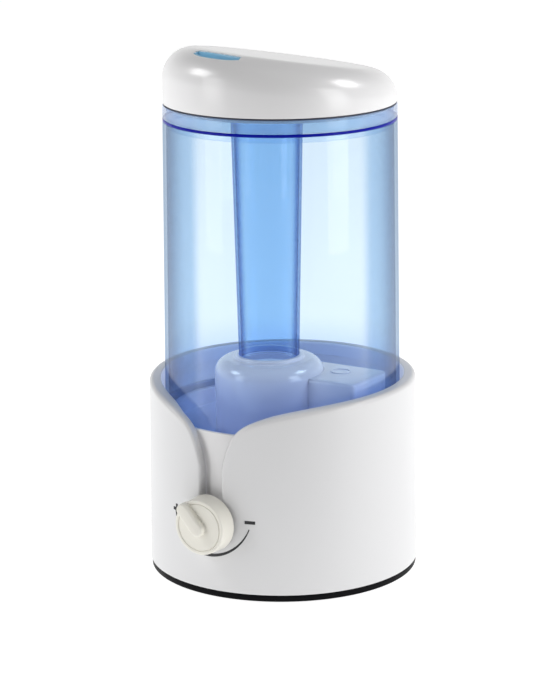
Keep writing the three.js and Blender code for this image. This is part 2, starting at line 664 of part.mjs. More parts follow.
// ---- Lid ----------------------------------------------------------------
// Cross-section of the lid's skin at an angle, offset inwards by a thickness.
function lidSkin(angle, inset) {
  const slope = LID_SLOPE * Math.cos(angle - LID_HIGH_ANGLE);
  const radius = LID_RADIUS - inset;
  const fillet = LID_FILLET - inset;
  const top = LID_AXIS_TOP - inset;
  const centre = radius - fillet;
  const height = top + slope * centre - fillet * Math.hypot(1, slope);
  const end = 90 + THREE.MathUtils.radToDeg(Math.atan(slope));
  return [...arcPoints(centre, height, fillet, 0, end, 5), [0, top]];
}

// The crescent outline of the outlet, seen from above, grown by a margin.
function crescent(margin) {
  const shape = new THREE.Shape();
  const outer = OUTLET_OUTER + margin;
  const inner = OUTLET_INNER - margin;
  const half = OUTLET_HALF_ANGLE + margin / OUTLET_INNER;
  const steps = 12;
  for (let i = 0; i <= steps; i += 1) {
    const angle = OUTLET_ANGLE - half + (2 * half * i) / steps;
    const radius = outer - 1.9 * (Math.abs(i - steps / 2) / (steps / 2)) ** 3;
    shape[i ? 'lineTo' : 'moveTo'](radius * Math.sin(angle), -radius * Math.cos(angle));
  }
  for (let i = steps; i >= 0; i -= 1) {
    const angle = OUTLET_ANGLE - half + (2 * half * i) / steps;
    const radius = inner + 1.2 * (Math.abs(i - steps / 2) / (steps / 2)) ** 3;
    shape.lineTo(radius * Math.sin(angle), -radius * Math.cos(angle));
  }
  return shape;
}

function lidBody(inset, bottom) {
  const rows = lidSkin(0, inset).length + 2;
  return solid(turned(rows, ROUND, (angle, row) => {
    if (row === 0) {
      return [0, bottom];
    }
    return row === 1 ? [LID_RADIUS - inset, bottom] : lidSkin(angle, inset)[row - 2];
  }));
}

function lid() {
  const skin = cut(lidBody(0, LID_BOTTOM), lidBody(LID_WALL, LID_BOTTOM - 5));
  const plug = ring(PLUG.outer, PLUG.inner, PLUG.bottom, PLUG.top);
  const bridge = ring(BRIDGE.outer, PLUG.inner, BRIDGE.bottom, BRIDGE.top);
  return cut(union(skin, plug, bridge), prism(crescent(GAP), PLUG.top, 380));
}

function outletInsert() {
  const outside = prism(crescent(-0.1), INSERT_BOTTOM, 380);
  const inside = prism(crescent(-0.1 - INSERT_WALL), INSERT_BOTTOM - 5, 390);
  return outside.subtract(inside).intersect(lidBody(0.5, PLUG.top));
}

// ---- Knob and control ---------------------------------------------------
function knob() {
  const body = revolved([
    [0, KNOB_BACK + 1.5], [16.5, KNOB_BACK + 1.5], [16.5, KNOB_BACK], [KNOB_RADIUS, KNOB_BACK],
    [KNOB_RIM_RADIUS, KNOB_FRONT - 1], [KNOB_RIM_RADIUS - 1, KNOB_FRONT],
    [KNOB_GROOVE.outer, KNOB_FRONT],
    [(KNOB_GROOVE.outer + KNOB_GROOVE.inner) / 2, KNOB_FRONT - KNOB_GROOVE.depth],
    [KNOB_GROOVE.inner, KNOB_FRONT], [0, KNOB_FRONT],
  ], 36);
  const { hub, tip, reach, start } = KNOB_BAR;
  const bar = new THREE.Shape();
  bar.moveTo(start, -hub);
  bar.lineTo(reach + tip / 2, -tip * Math.sin(Math.PI / 3));
  bar.absarc(reach, 0, tip, -Math.PI / 3, Math.PI / 3);
  bar.lineTo(start, hub);
  bar.absarc(start, 0, hub, Math.PI / 2, Math.PI * 1.5);
  const grip = prism(bar, KNOB_FRONT - 1, KNOB_BAR_FRONT, 6)
    .rotate([0, 0, THREE.MathUtils.radToDeg(KNOB_BAR_ANGLE)]);
  const bore = disc(SHAFT_HEAD + GAP, 80, 100.3, COARSE);
  return facingFront(cut(union(body, grip), bore));
}

function potentiometer() {
  const body = disc(8.5, 66, 77, 24);
  const bushing = disc(BUSHING, 76, 90, COARSE);
  const bore = disc(2.4, 68, 95, COARSE);
  return facingFront(cut(union(body, bushing), bore));
}

function potShaft() {
  const slim = disc(2.2, 69, 91, COARSE);
  const head = disc(SHAFT_HEAD, 90.4, 100, COARSE);
  return facingFront(union(slim, head));
}

// ---- Electrics ----------------------------------------------------------
function fanFrame() {
  const half = FAN_SIZE / 2;
  const frame = prism(roundedRectangle(
    FAN_X - half, FAN_X + half, FAN_Y - half, FAN_Y + half, 4,
  ), FAN_BOTTOM, FAN_TOP, 3).subtract(disc(FAN_BORE, 0, 30, FINE, FAN_X, FAN_Y));
  const arms = [45, 135].map((turn) => (
    block(-FAN_BORE - 1, FAN_BORE + 1, -1, 1, FAN_BOTTOM, FAN_BOTTOM + 1.4)
      .rotate([0, 0, turn]).translate([FAN_X, FAN_Y, 0])
  ));
  const motor = disc(FAN_HUB, FAN_BOTTOM, FAN_BOTTOM + 3, 24, FAN_X, FAN_Y);
  return union(frame, ...arms, motor);
}

function fanRotor() {
  const hub = disc(FAN_HUB, FAN_BOTTOM + 3.4, FAN_TOP - 1, 24);
  const blades = Array.from({ length: FAN_BLADES }, (_, i) => (
    block(8.6, 21.6, -0.6, 0.6, -5.5, 5.5).rotate([38, 0, 0])
      .translate([0, 0, 14.4]).rotate([0, 0, (360 / FAN_BLADES) * i])
  ));
  return union(hub, ...blades).translate([FAN_X, FAN_Y, 0]);
}

function airDuct() {
  const { left, right, front, back } = TOWER;
  const { left: west, right: east, half, top } = PLENUM;
  const wall = TOWER_WALL;
  const plenum = block(west, east, FAN_Y - half, FAN_Y + half, FAN_TOP + GAP, top);
  const riser = block(left, right, front, back, top - 1, BASIN_FLOOR - PLASTIC - GAP);
  const plenumVoid = block(
    west + wall, east - wall, FAN_Y - half + wall, FAN_Y + half - wall, 20, top - wall,
  );
  const riserVoid = block(
    left + wall, right - wall, front + wall, back - wall, 30, 90,
  );
  return cut(union(plenum, riser), plenumVoid, riserVoid);
}

const SINK = { left: -57, right: -45, front: -28, back: 2 };

function heatSink() {
  const bottom = BOARD.bottom + BOARD.thick + GAP;
  const spine = block(SINK.right - 2.5, SINK.right, SINK.front, SINK.back, bottom, bottom + 20);
  const fins = Array.from({ length: 5 }, (_, i) => {
    const y = SINK.front + 1 + i * 6.6;
    return block(SINK.left, SINK.right - 2, y, y + 1.6, bottom, bottom + 20);
  });
  return union(spine, ...fins);
}

const CORE = { x: -34, y: 38, half: 21, depth: 9, bottom: 4.3, top: 39.3 };

function transformerCore() {
  const { x, y, half, depth, bottom, top } = CORE;
  const frame = block(x - half, x + half, y - depth, y + depth, bottom, top);
  const windows = [-1, 1].map((side) => (
    block(x + side * 10.5 - 3.5, x + side * 10.5 + 3.5, y - 20, y + 20, bottom + 7, top - 7)
  ));
  return cut(frame, ...windows);
}

function transformerCoil() {
  const { x, y, depth, bottom, top } = CORE;
  const winding = prism(roundedRectangle(
    x - 13.6, x + 13.6, y - depth - 6.6, y + depth + 6.6, 4,
  ), bottom + 7 + GAP, top - 7 - GAP, 3);
  const leg = block(x - 7 - GAP, x + 7 + GAP, y - depth - GAP, y + depth + GAP, 0, 60);
  return cut(winding, leg);
}

// ---- Assembly -----------------------------------------------------------
place('base_pan', basePan(), materials.black());
feet.forEach(([x, y], i) => {
  place(`foot_${i + 1}`, disc(FOOT_RADIUS, 0, FOOT_HEIGHT, 24, x, y), materials.rubber());
});
baseScrews.forEach(([x, y], i) => {
  place(`base_screw_${i + 1}`, screw(x, y, 1.2, 2.3, 22, 1.6, 3.8), materials.steel());
});
place('outer_shell', outerShell(), materials.white());
place('inner_housing', innerHousing(), materials.white());
place('air_tower', airTower(), materials.white());
place('cord_gland', facingBack(revolved(closed([
  [GLAND_BORE, GLAND.inside], [GLAND.radius, GLAND.inside], [GLAND.radius, GLAND.step],
  [GLAND.flange, GLAND.step], [GLAND.flange, GLAND.outside], [GLAND_BORE, GLAND.outside],
]), FINE)), materials.rubber());

place('mist_chimney', mistChimney(), materials.white());
place('transducer_gasket', ring(
  GASKET.radius, GASKET.bore, GASKET.bottom, GASKET.top, FINE, 0, MIST_Y,
), materials.silicone());
place('transducer', disc(
  TRANSDUCER.radius, TRANSDUCER.bottom, TRANSDUCER.top, FINE, 0, MIST_Y,
), materials.brass());
place('transducer_retainer', retainer(), materials.steel());
retainerScrews.forEach(([x, y], i) => {
  place(`retainer_screw_${i + 1}`, screw(x, y, 65, 66.1, 72, 0.8, 2), materials.steel());
});
place('float', ring(
  FLOAT.radius, FLOAT.bore, FLOAT.bottom, FLOAT.top, FINE, FLOAT_X, FLOAT_Y,
), materials.white());
place('float_clip', ring(
  FLOAT_CLIP.radius, FLOAT_CLIP.bore, FLOAT_CLIP.bottom, FLOAT_CLIP.top, COARSE, FLOAT_X, FLOAT_Y,
), materials.white());
place('reed_switch', block(
  FLOAT_X - REED.halfLength, FLOAT_X + REED.halfLength,
  FLOAT_Y - REED.halfWidth, FLOAT_Y + REED.halfWidth, REED.bottom, REED.top,
), materials.black());

place('driver_board', cut(
  block(BOARD.left, BOARD.right, BOARD.front, BOARD.back, BOARD.bottom, BOARD.bottom + BOARD.thick),
  block(BOARD.left - 1, BOARD.left + 11, BOARD.front - 1, BOARD.front + 6, 0, 60),
  ...boardScrews.map(([x, y]) => disc(1.6, 0, 60, 12, x, y)),
), materials.board());
boardScrews.forEach(([x, y], i) => {
  const top = BOARD.bottom + BOARD.thick + GAP;
  const fixing = screw(0, 0, 0, 1.4, 10, 1.1, 2.6).rotate([180, 0, 0]).translate([x, y, top + 1.4]);
  place(`board_screw_${i + 1}`, fixing, materials.steel());
});
place('heat_sink', heatSink(), materials.aluminium());
place('power_transistor', block(-44.6, -40.2, -18, -8, 33, 50), materials.black());
place('capacitor', disc(5, 31.9, 47, 20, -24, -12), materials.black());
place('inductor', ring(7, 3.4, 31.9, 39, 20, -30, -32), materials.copper());
place('transformer_core', transformerCore(), materials.steel());
place('transformer_coil', transformerCoil(), materials.copper());

place('fan_frame', fanFrame(), materials.black());
place('fan_rotor', fanRotor(), materials.black());
place('air_duct', airDuct(), materials.white());

place('potentiometer', potentiometer(), materials.steel());
place('pot_nut', facingFront(
  cut(disc(5.8, 84.6, 87.2, 6), disc(BUSHING + GAP, 80, 90, COARSE)),
), materials.steel());
place('pot_shaft', potShaft(), materials.steel());
place('knob', knob(), materials.ivory());

place('tank_wall', tankWall(), materials.blue());
place('tank_floor', tankFloor(), materials.lavender());
place('mist_dome', mistDome(), materials.lavender());
place('air_box', airBox(), materials.lavender());
place('filler_neck', fillerNeck(), materials.lavender());
place('tank_top', tankTop(), materials.deepBlue());
place('tank_collar', tankCollar(), materials.blue());
place('mist_tube', mistTube(), materials.blue());
place('tube_seal', ring(
  TUBE_SOCKET_RADIUS - 0.25, DOME_BORE + 0.4, TUBE_SEAT + GAP, TUBE_BOTTOM - 0.2, MIST_ROUND, 0, MIST_Y,
), materials.silicone());
place('filler_cap', fillerCap(), materials.white());
place('cap_gasket', ring(
  NECK_RADIUS - 0.4, NECK_BORE + 0.2, CAP_DISC_TOP + 0.2, NECK_BOTTOM - 0.2, FINE, 0, VALVE_Y,
), materials.silicone());
place('valve_plunger', valvePlunger(), materials.white());
place('valve_seal', ring(
  PLUNGER.head - 0.4, PLUNGER.stem + GAP, PLUNGER.headBottom - 1.1, PLUNGER.headBottom - 0.1,
  COARSE, 0, VALVE_Y,
), materials.silicone());
place('valve_spring', valveSpring(), materials.steel());

place('lid_seat_ring', ring(77.7, 75.2, COLLAR_TOP + 0.2, LID_BOTTOM - 0.2), materials.rubber());
place('lid', lid(), materials.white());
place('outlet_insert', outletInsert(), materials.blue());

export default group;
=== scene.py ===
import math

import bmesh
import bpy
import numpy as np
from mathutils import Matrix, Vector


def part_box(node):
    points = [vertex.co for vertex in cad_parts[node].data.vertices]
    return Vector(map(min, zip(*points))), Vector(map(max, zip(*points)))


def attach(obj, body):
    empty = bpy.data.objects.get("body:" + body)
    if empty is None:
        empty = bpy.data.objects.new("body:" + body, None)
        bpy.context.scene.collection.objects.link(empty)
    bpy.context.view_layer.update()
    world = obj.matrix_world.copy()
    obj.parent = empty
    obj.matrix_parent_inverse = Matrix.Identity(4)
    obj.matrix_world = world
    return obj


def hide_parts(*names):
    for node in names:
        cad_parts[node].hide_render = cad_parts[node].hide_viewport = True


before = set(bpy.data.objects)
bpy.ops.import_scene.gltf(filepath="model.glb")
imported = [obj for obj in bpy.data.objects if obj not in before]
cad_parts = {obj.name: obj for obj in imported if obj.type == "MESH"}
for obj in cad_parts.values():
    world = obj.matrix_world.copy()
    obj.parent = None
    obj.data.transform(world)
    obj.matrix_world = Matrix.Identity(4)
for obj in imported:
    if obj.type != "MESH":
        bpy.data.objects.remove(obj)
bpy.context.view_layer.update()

MM = 0.001
ROUND = 192  # segments of the large round pieces
MEDIUM = 96  # segments of the medium round pieces
PLASTIC = 2.5  # wall of the thin mouldings


def span(node):
    """Lowest and highest corner of a CAD node, in millimetres."""
    low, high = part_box(node)
    return low / MM, high / MM


# ---- Node materials ---------------------------------------------------------
class Nodes:
    """A small helper that adds and wires the shader nodes of a material or a world."""

    def __init__(self, owner, output="ShaderNodeOutputMaterial", space="Object"):
        owner.use_nodes = True
        self.owner = owner
        self.tree = owner.node_tree
        self.tree.nodes.clear()
        self.output = self.add(output)
        self.coordinates = self.add("ShaderNodeTexCoord").outputs[space]

    def add(self, kind, **values):
        node = self.tree.nodes.new(kind)
        for key, value in values.items():
            if key in node.inputs:
                node.inputs[key].default_value = value
            else:
                setattr(node, key, value)
        return node

    def link(self, source, target):
        self.tree.links.new(source, target)

    def noise(self, scale, detail=3.0, stretch=None):
        noise = self.add("ShaderNodeTexNoise", Scale=scale, Detail=detail)
        if stretch:
            mapping = self.add("ShaderNodeMapping")
            mapping.inputs["Scale"].default_value = stretch
            self.link(self.coordinates, mapping.inputs["Vector"])
            self.link(mapping.outputs["Vector"], noise.inputs["Vector"])
        else:
            self.link(self.coordinates, noise.inputs["Vector"])
        return noise.outputs["Fac"]

    def ranged(self, value, low, high):
        """Spreads the middle of a noise between two values."""
        mapped = self.add("ShaderNodeMapRange")
        mapped.inputs["From Min"].default_value = 0.3
        mapped.inputs["From Max"].default_value = 0.7
        mapped.inputs["To Min"].default_value = low
        mapped.inputs["To Max"].default_value = high
        self.link(value, mapped.inputs["Value"])
        return mapped.outputs["Result"]

    def stepped(self, value, start, end, low=0.0, high=1.0):
        """A smooth step from low to high while the value goes from start to end."""
        step = self.add("ShaderNodeMapRange", interpolation_type="SMOOTHSTEP")
        step.inputs["From Min"].default_value = start
        step.inputs["From Max"].default_value = end
        step.inputs["To Min"].default_value = low
        step.inputs["To Max"].default_value = high
        self.link(value, step.inputs["Value"])
        return step.outputs["Result"]

    def multiplied(self, first, second):
        """The product of two colours."""
        product = self.add("ShaderNodeMix", data_type="RGBA", blend_type="MULTIPLY")
        product.inputs["Factor"].default_value = 1.0
        self.link(first, product.inputs[6])
        self.link(second, product.inputs[7])
        return product.outputs[2]

    def along(self, vector, direction):
        """How far a vector reaches in a direction."""
        product = self.add("ShaderNodeVectorMath", operation="DOT_PRODUCT")
        product.inputs[1].default_value = direction
        self.link(vector, product.inputs[0])
        return product.outputs["Value"]

    def tinted(self, value, dark, light):
        mix = self.add("ShaderNodeMix", data_type="RGBA")
        mix.inputs[6].default_value = (*dark, 1)
        mix.inputs[7].default_value = (*light, 1)
        self.link(value, mix.inputs["Factor"])
        return mix.outputs[2]

    def bump(self, value, strength, distance=0.0002):
        bump = self.add("ShaderNodeBump", Strength=strength, Distance=distance)
        self.link(value, bump.inputs["Height"])
        return bump.outputs["Normal"]


def shade(colour, factor):
    return tuple(min(1.0, c * factor) for c in colour)


def moulded(name, colour, roughness, coat=0.0, vary=0.03, bump=0.04, grain=900.0, metallic=0.0,
            stretch=None, subsurface=0.0, glow=0.0, specular=0.5, coat_blur=0.04, uneven=0.2):
    """Moulded plastic, rubber or metal with fine grain, cloudy gloss and a faint ripple; glow is painted
    light, an emission in the piece's own colour.
    """
    n = Nodes(bpy.data.materials.new(name))
    principled = n.add("ShaderNodeBsdfPrincipled")
    cloud = n.noise(22.0, 4.0)
    fine = n.noise(grain, 2.0, stretch)
    clouded = n.tinted(cloud, shade(colour, 1 - vary), shade(colour, 1 + vary))
    n.link(clouded, principled.inputs["Base Color"])
    patchy = n.noise(60.0, 5.0, stretch)
    gloss = n.ranged(patchy, roughness * (1 - uneven), roughness * (1 + uneven))
    n.link(gloss, principled.inputs["Roughness"])
    n.link(n.bump(fine, bump), principled.inputs["Normal"])
    principled.inputs["Metallic"].default_value = metallic
    principled.inputs["Coat Weight"].default_value = coat
    principled.inputs["Coat Roughness"].default_value = coat_blur
    principled.inputs["Subsurface Weight"].default_value = subsurface
    principled.inputs["Subsurface Radius"].default_value = (0.004, 0.004, 0.004)
    principled.inputs["Emission Color"].default_value = (*colour, 1)
    principled.inputs["Emission Strength"].default_value = glow
    principled.inputs["Specular IOR Level"].default_value = specular
    n.link(principled.outputs["BSDF"], n.output.inputs["Surface"])
    return n.owner


CLEAR_SHADE_HEIGHTS = (0.16, 0.125)  # heights in metres between which the lower tint comes in: painted shade, darker and bluer towards the bottom
CLEAR_EDGE = (0.4, 0.88)  # Layer Weight facing values between which the edge tint comes in


def clear(name, face, rim, step_from, step_to, haze, haze_colour, low=(1, 1, 1), edge=(1, 1, 1), gloss=0.04,
          shine_limit=0.16):
    """Clear tinted plastic: light passes straight through, and the tint deepens where the wall turns away."""
    n = Nodes(bpy.data.materials.new(name))
    weight = n.add("ShaderNodeLayerWeight", Blend=0.5)
    facing = weight.outputs["Facing"]
    tint = n.tinted(n.stepped(facing, step_from, step_to), face, rim)
    edged = n.multiplied(tint, n.tinted(n.stepped(facing, *CLEAR_EDGE), (1, 1, 1), edge))
    streak = n.noise(14.0, 2.0, (1.0, 1.0, 0.25))
    clouded = n.multiplied(edged, n.tinted(streak, (0.985, 0.99, 0.995), (1.0, 1.0, 1.0)))
    height = n.add("ShaderNodeSeparateXYZ")
    n.link(n.coordinates, height.inputs["Vector"])
    # The lower tint is painted shade on the lower parts of the tank and the tube.
    deep = n.stepped(height.outputs["Z"], *CLEAR_SHADE_HEIGHTS)
    lower = n.multiplied(clouded, n.tinted(deep, (1, 1, 1), low))
    through = n.add("ShaderNodeBsdfTransparent")
    n.link(lower, through.inputs["Color"])
    body = n.add("ShaderNodeBsdfPrincipled")
    body.inputs["Base Color"].default_value = (*haze_colour, 1)
    n.link(n.ranged(n.noise(40.0, 3.0), 0.25, 0.4), body.inputs["Roughness"])
    milky = n.add("ShaderNodeMixShader")
    milky.inputs["Fac"].default_value = haze
    n.link(through.outputs["BSDF"], milky.inputs[1])
    n.link(body.outputs["BSDF"], milky.inputs[2])
    shine = n.add("ShaderNodeBsdfGlossy")
    n.link(n.ranged(n.noise(50.0, 4.0), gloss * 0.7, gloss * 1.3), shine.inputs["Roughness"])
    n.link(n.bump(n.noise(9.0, 1.0), 0.05, 0.0006), shine.inputs["Normal"])
    fresnel = n.add("ShaderNodeFresnel", IOR=1.3)
    limit = n.add("ShaderNodeMath", operation="MINIMUM")
    limit.inputs[1].default_value = shine_limit
    n.link(fresnel.outputs["Fac"], limit.inputs[0])
    surface = n.add("ShaderNodeMixShader")
    n.link(limit.outputs["Value"], surface.inputs["Fac"])
    n.link(milky.outputs["Shader"], surface.inputs[1])
    n.link(shine.outputs["BSDF"], surface.inputs[2])
    n.link(surface.outputs["Shader"], n.output.inputs["Surface"])
    return n.owner


white = moulded("white_abs", (0.765, 0.76, 0.765), 0.3, coat=0.35, vary=0.003, bump=0.015, grain=500.0,
                coat_blur=0.16, uneven=0.02)
# Satin copy of the white ABS for the shell: rougher, with less coat, and a darker colour than the lid's white
# that is painted shade.
white_satin_shaded = moulded("white_abs_satin_shaded", (0.695, 0.695, 0.702), 0.36, coat=0.22, vary=0.003, bump=0.015,
                      grain=500.0, specular=0.4, coat_blur=0.16, uneven=0.02)
# White for parts inside the base and tank; its glow is painted light in the dark inside.
white_inner_glow = moulded("white_abs_inner_glow", (0.84, 0.84, 0.85), 0.35, coat=0.2, vary=0.01, bump=0.03,
                      glow=0.12)
# Glowing copy of the white: painted light on the shell's inner faces and the mist chimney.
white_lit = moulded("white_abs_lit", (0.82, 0.82, 0.86), 0.4, vary=0.01, bump=0.03, glow=0.25)
ivory = moulded("ivory_abs", (0.77, 0.75, 0.68), 0.34, vary=0.015, bump=0.05, grain=1400.0)
black = moulded("black_abs", (0.003, 0.003, 0.004), 0.45, vary=0.2, bump=0.06, specular=0.06)
dark_frame = moulded("dark_frame", (0.022, 0.022, 0.024), 0.45, vary=0.2, bump=0.08)
rubber = moulded("rubber", (0.03, 0.03, 0.032), 0.75, vary=0.15, bump=0.15, grain=1600.0)
# Dark blue-black for the ring in the seam under the lid, which darkens the seam.
seat_ring_dark = moulded("seat_ring_dark", (0.03, 0.035, 0.06), 0.6, vary=0.15, bump=0.1)
silicone = moulded("silicone", (0.72, 0.75, 0.78), 0.55, vary=0.03, bump=0.08, subsurface=0.2)
steel = moulded("steel", (0.56, 0.57, 0.59), 0.33, vary=0.05, bump=0.1, metallic=1.0, stretch=(1, 1, 8))
aluminium = moulded("aluminium", (0.66, 0.67, 0.69), 0.4, vary=0.04, bump=0.12, metallic=1.0,
                   stretch=(1, 8, 1))
brass = moulded("brass", (0.62, 0.47, 0.22), 0.3, vary=0.05, bump=0.08, metallic=1.0)
copper = moulded("copper_wire", (0.48, 0.2, 0.09), 0.4, vary=0.12, bump=0.5, grain=420.0, metallic=1.0,
                 stretch=(1, 1, 14))
board = moulded("circuit_board", (0.02, 0.13, 0.055), 0.4, coat=0.3, vary=0.15, bump=0.1)
capacitor_black = moulded("capacitor_sleeve", (0.02, 0.022, 0.05), 0.35, vary=0.1, bump=0.05)
# The lavender glows faintly: painted light.
lavender = moulded("pale_blue_abs", (0.76, 0.76, 0.88), 0.22, coat=0.6, vary=0.012, bump=0.02, glow=0.05)
# Darker, glowing copy of the lavender: painted light on the faces inside the dome and on the tube seal.
lavender_lit = moulded("pale_blue_abs_lit", (0.6, 0.66, 0.88), 0.4, vary=0.02, bump=0.02, glow=0.12)
# The pan blue glows faintly: painted light.
pan_blue = moulded("pan_blue", (0.58, 0.64, 0.86), 0.2, coat=0.6, vary=0.02, bump=0.02, glow=0.08)
# The outlet's blue glows: painted light standing in for light through the insert.
outlet_blue = moulded("outlet_blue", (0.2, 0.42, 0.58), 0.25, coat=0.4, vary=0.03, bump=0.03, glow=0.2)
collar_blue = clear("collar_blue", (0.76, 0.87, 0.95), (0.86, 0.9, 0.98), 0.15, 0.6, 0.16, (0.5, 0.68, 1.0),
                    shine_limit=0.3)
# Navy for the plate's edge; its glow is painted light on the edge's own dark blue.
deep_blue = moulded("deep_blue", (0.002, 0.006, 0.28), 0.3, vary=0.08, bump=0.02, glow=0.07, specular=0.1)
ink = moulded("printed_ink", (0.015, 0.015, 0.018), 0.5, vary=0.2, bump=0.05)
# The tank's clear blue darkens towards the bottom: painted shade.
clear_blue = clear("clear_blue", (0.925, 0.968, 0.998), (0.79, 0.88, 0.955), 0.3, 0.4, 0.015,
                   (0.3, 0.5, 0.9), (0.85, 0.89, 0.985), edge=(0.72, 0.75, 0.8))
plate_blue = clear("plate_blue", (0.9, 0.95, 1.0), (0.88, 0.94, 0.99), 0.3, 0.6, 0.02, (0.4, 0.6, 1.0),
                   shine_limit=0.1)
# The tube's clear blue darkens slightly towards its foot: painted shade.
tube_blue = clear("tube_blue", (0.785, 0.893, 0.985), (0.56, 0.7, 0.88), 0.34, 0.62, 0.02, (0.2, 0.4, 0.8),
                  (0.95, 0.96, 1.0), edge=(0.7, 0.75, 0.85))


# ---- Meshes -------------------------------------------------------------------
def finish_mesh(piece, crease=32.0):
    """Welds the mesh, turns its faces outwards and marks the creases that stay sharp."""
    mesh = bmesh.new()
    mesh.from_mesh(piece.data)
    bmesh.ops.remove_doubles(mesh, verts=mesh.verts, dist=2e-6)
    bmesh.ops.recalc_face_normals(mesh, faces=mesh.faces)
    for face in mesh.faces:
        face.smooth = True
    limit = math.radians(crease)
    for edge in mesh.edges:
        edge.smooth = len(edge.link_faces) != 2 or edge.calc_face_angle(0) < limit
    mesh.to_mesh(piece.data)
    mesh.free()
    return piece


def raw(name, points, faces):
    mesh = bpy.data.meshes.new(name)
    mesh.from_pydata([Vector(p) * MM for p in points], [], faces)
    piece = bpy.data.objects.new(name, mesh)
    bpy.context.scene.collection.objects.link(piece)
    return piece


def dressed(piece, material, body, nodes):
    """Gives a piece its material and its place in the frame."""
    piece.data.materials.clear()
    piece.data.materials.append(material)
    finish_mesh(piece)
    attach(piece, body)
    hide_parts(*nodes)
    return piece


def rounded(corners, steps=6):
    """A closed outline; a corner given as (x, y, radius) is rounded."""
    out = []
    for i, corner in enumerate(corners):
        p = Vector(corner[:2])
        radius = corner[2] if len(corner) > 2 else 0
        if not radius:
            out.append(tuple(p))
            continue
        a = (Vector(corners[i - 1][:2]) - p).normalized()
        b = (Vector(corners[(i + 1) % len(corners)][:2]) - p).normalized()
        half = a.angle(b) / 2
        centre = p + (a + b).normalized() * (radius / math.sin(half))
        first = p + a * (radius / math.tan(half)) - centre
        last = p + b * (radius / math.tan(half)) - centre
        turn = math.atan2(first.x * last.y - first.y * last.x, first.dot(last))
        for k in range(steps + 1):
            spun = Matrix.Rotation(turn * k / steps, 2) @ first
            out.append(tuple(centre + spun))
    return out


def revolve(name, outline, segments=ROUND, x=0.0, y=0.0, is_closed=True):
    """Turns an outline of (radius, height) about a vertical axis."""
    count = len(outline)
    points, faces = [], []
    for s in range(segments):
        turn = 2 * math.pi * s / segments
        for radius, height in outline:
            points.append((x + radius * math.sin(turn), y - radius * math.cos(turn), height))
    for s in range(segments):
        here, after = s * count, (s + 1) % segments * count
        for k in range(count if is_closed else count - 1):
            m = (k + 1) % count
            quad = [here + k, after + k, after + m, here + m]
            if outline[k][0] < 1e-6:
                quad.remove(after + k)
            if outline[m][0] < 1e-6:
                quad.remove(after + m)
            if len(quad) > 2:
                faces.append(quad)
    return raw(name, points, faces)


def offset(outline, distance):
    """Moves a counter-clockwise outline inwards along its corner normals."""
    moved = []
    for i, point in enumerate(outline):
        p, before, after = Vector(point), Vector(outline[i - 1]), Vector(outline[(i + 1) % len(outline)])
        a, b = (p - before).normalized(), (after - p).normalized()
        na, nb = Vector((-a.y, a.x)), Vector((-b.y, b.x))
        normal = (na + nb).normalized()
        moved.append(tuple(p + normal * distance / max(0.3, normal.dot(na))))
    return moved


def extrude(name, outline, bottom, top, round_top=0.0, round_bottom=0.0, steps=5):
    """A prism of a counter-clockwise outline with rounded upper and lower edges."""
    layers = []
    if round_bottom:
        for k in range(steps + 1):
            turn = math.pi / 2 * k / steps
            height = bottom + round_bottom * (1 - math.cos(turn))
            layers.append((round_bottom * (1 - math.sin(turn)), height))
    else:
        layers.append((0.0, bottom))
    if round_top:
        for k in range(steps + 1):
            turn = math.pi / 2 * k / steps
            layers.append((round_top * (1 - math.cos(turn)), top - round_top * (1 - math.sin(turn))))
    else:
        layers.append((0.0, top))
    points, faces = [], []
    count = len(outline)
    for inset, height in layers:
        points += [(px, py, height) for px, py in offset(outline, inset)]
    for layer in range(len(layers) - 1):
        for k in range(count):
            m = (k + 1) % count
            here, above = layer * count, (layer + 1) * count
            faces.append([here + k, here + m, above + m, above + k])
    faces.append(list(range(count))[::-1])
    faces.append([(len(layers) - 1) * count + k for k in range(count)])
    return raw(name, points, faces)


def middle(box):
    """The middle of a box from above."""
    low, high = box
    return (low.x + high.x) / 2, (low.y + high.y) / 2


def circle(radius, x=0.0, y=0.0, segments=48):
    turns = [2 * math.pi * k / segments for k in range(segments)]
    return [(x + radius * math.cos(turn), y + radius * math.sin(turn)) for turn in turns]


def rectangle(x0, x1, y0, y1, radius=0.0):
    return rounded([(x0, y0, radius), (x1, y0, radius), (x1, y1, radius), (x0, y1, radius)], 8)


def combine(piece, tool, operation):
    """One boolean step; the tool is used up."""
    finish_mesh(tool)
    finish_mesh(piece)
    step = piece.modifiers.new("step", "BOOLEAN")
    step.object = tool
    step.operation = operation
    step.solver = "EXACT"
    bpy.context.view_layer.update()
    made = bpy.data.meshes.new_from_object(piece.evaluated_get(bpy.context.evaluated_depsgraph_get()))
    piece.modifiers.clear()
    piece.data = made
    bpy.data.objects.remove(tool)
    return piece


def cut(piece, *tools):
    for tool in tools:
        combine(piece, tool, "DIFFERENCE")
    return piece


def fuse(piece, *tools):
    for tool in tools:
        combine(piece, tool, "UNION")
    return piece


def forwards(piece, height):
    """Lays a piece made about +Z down so that it points to the front."""
    piece.data.transform(Matrix.Translation((0, 0, height * MM)) @ Matrix.Rotation(math.pi / 2, 4, "X"))
    return piece


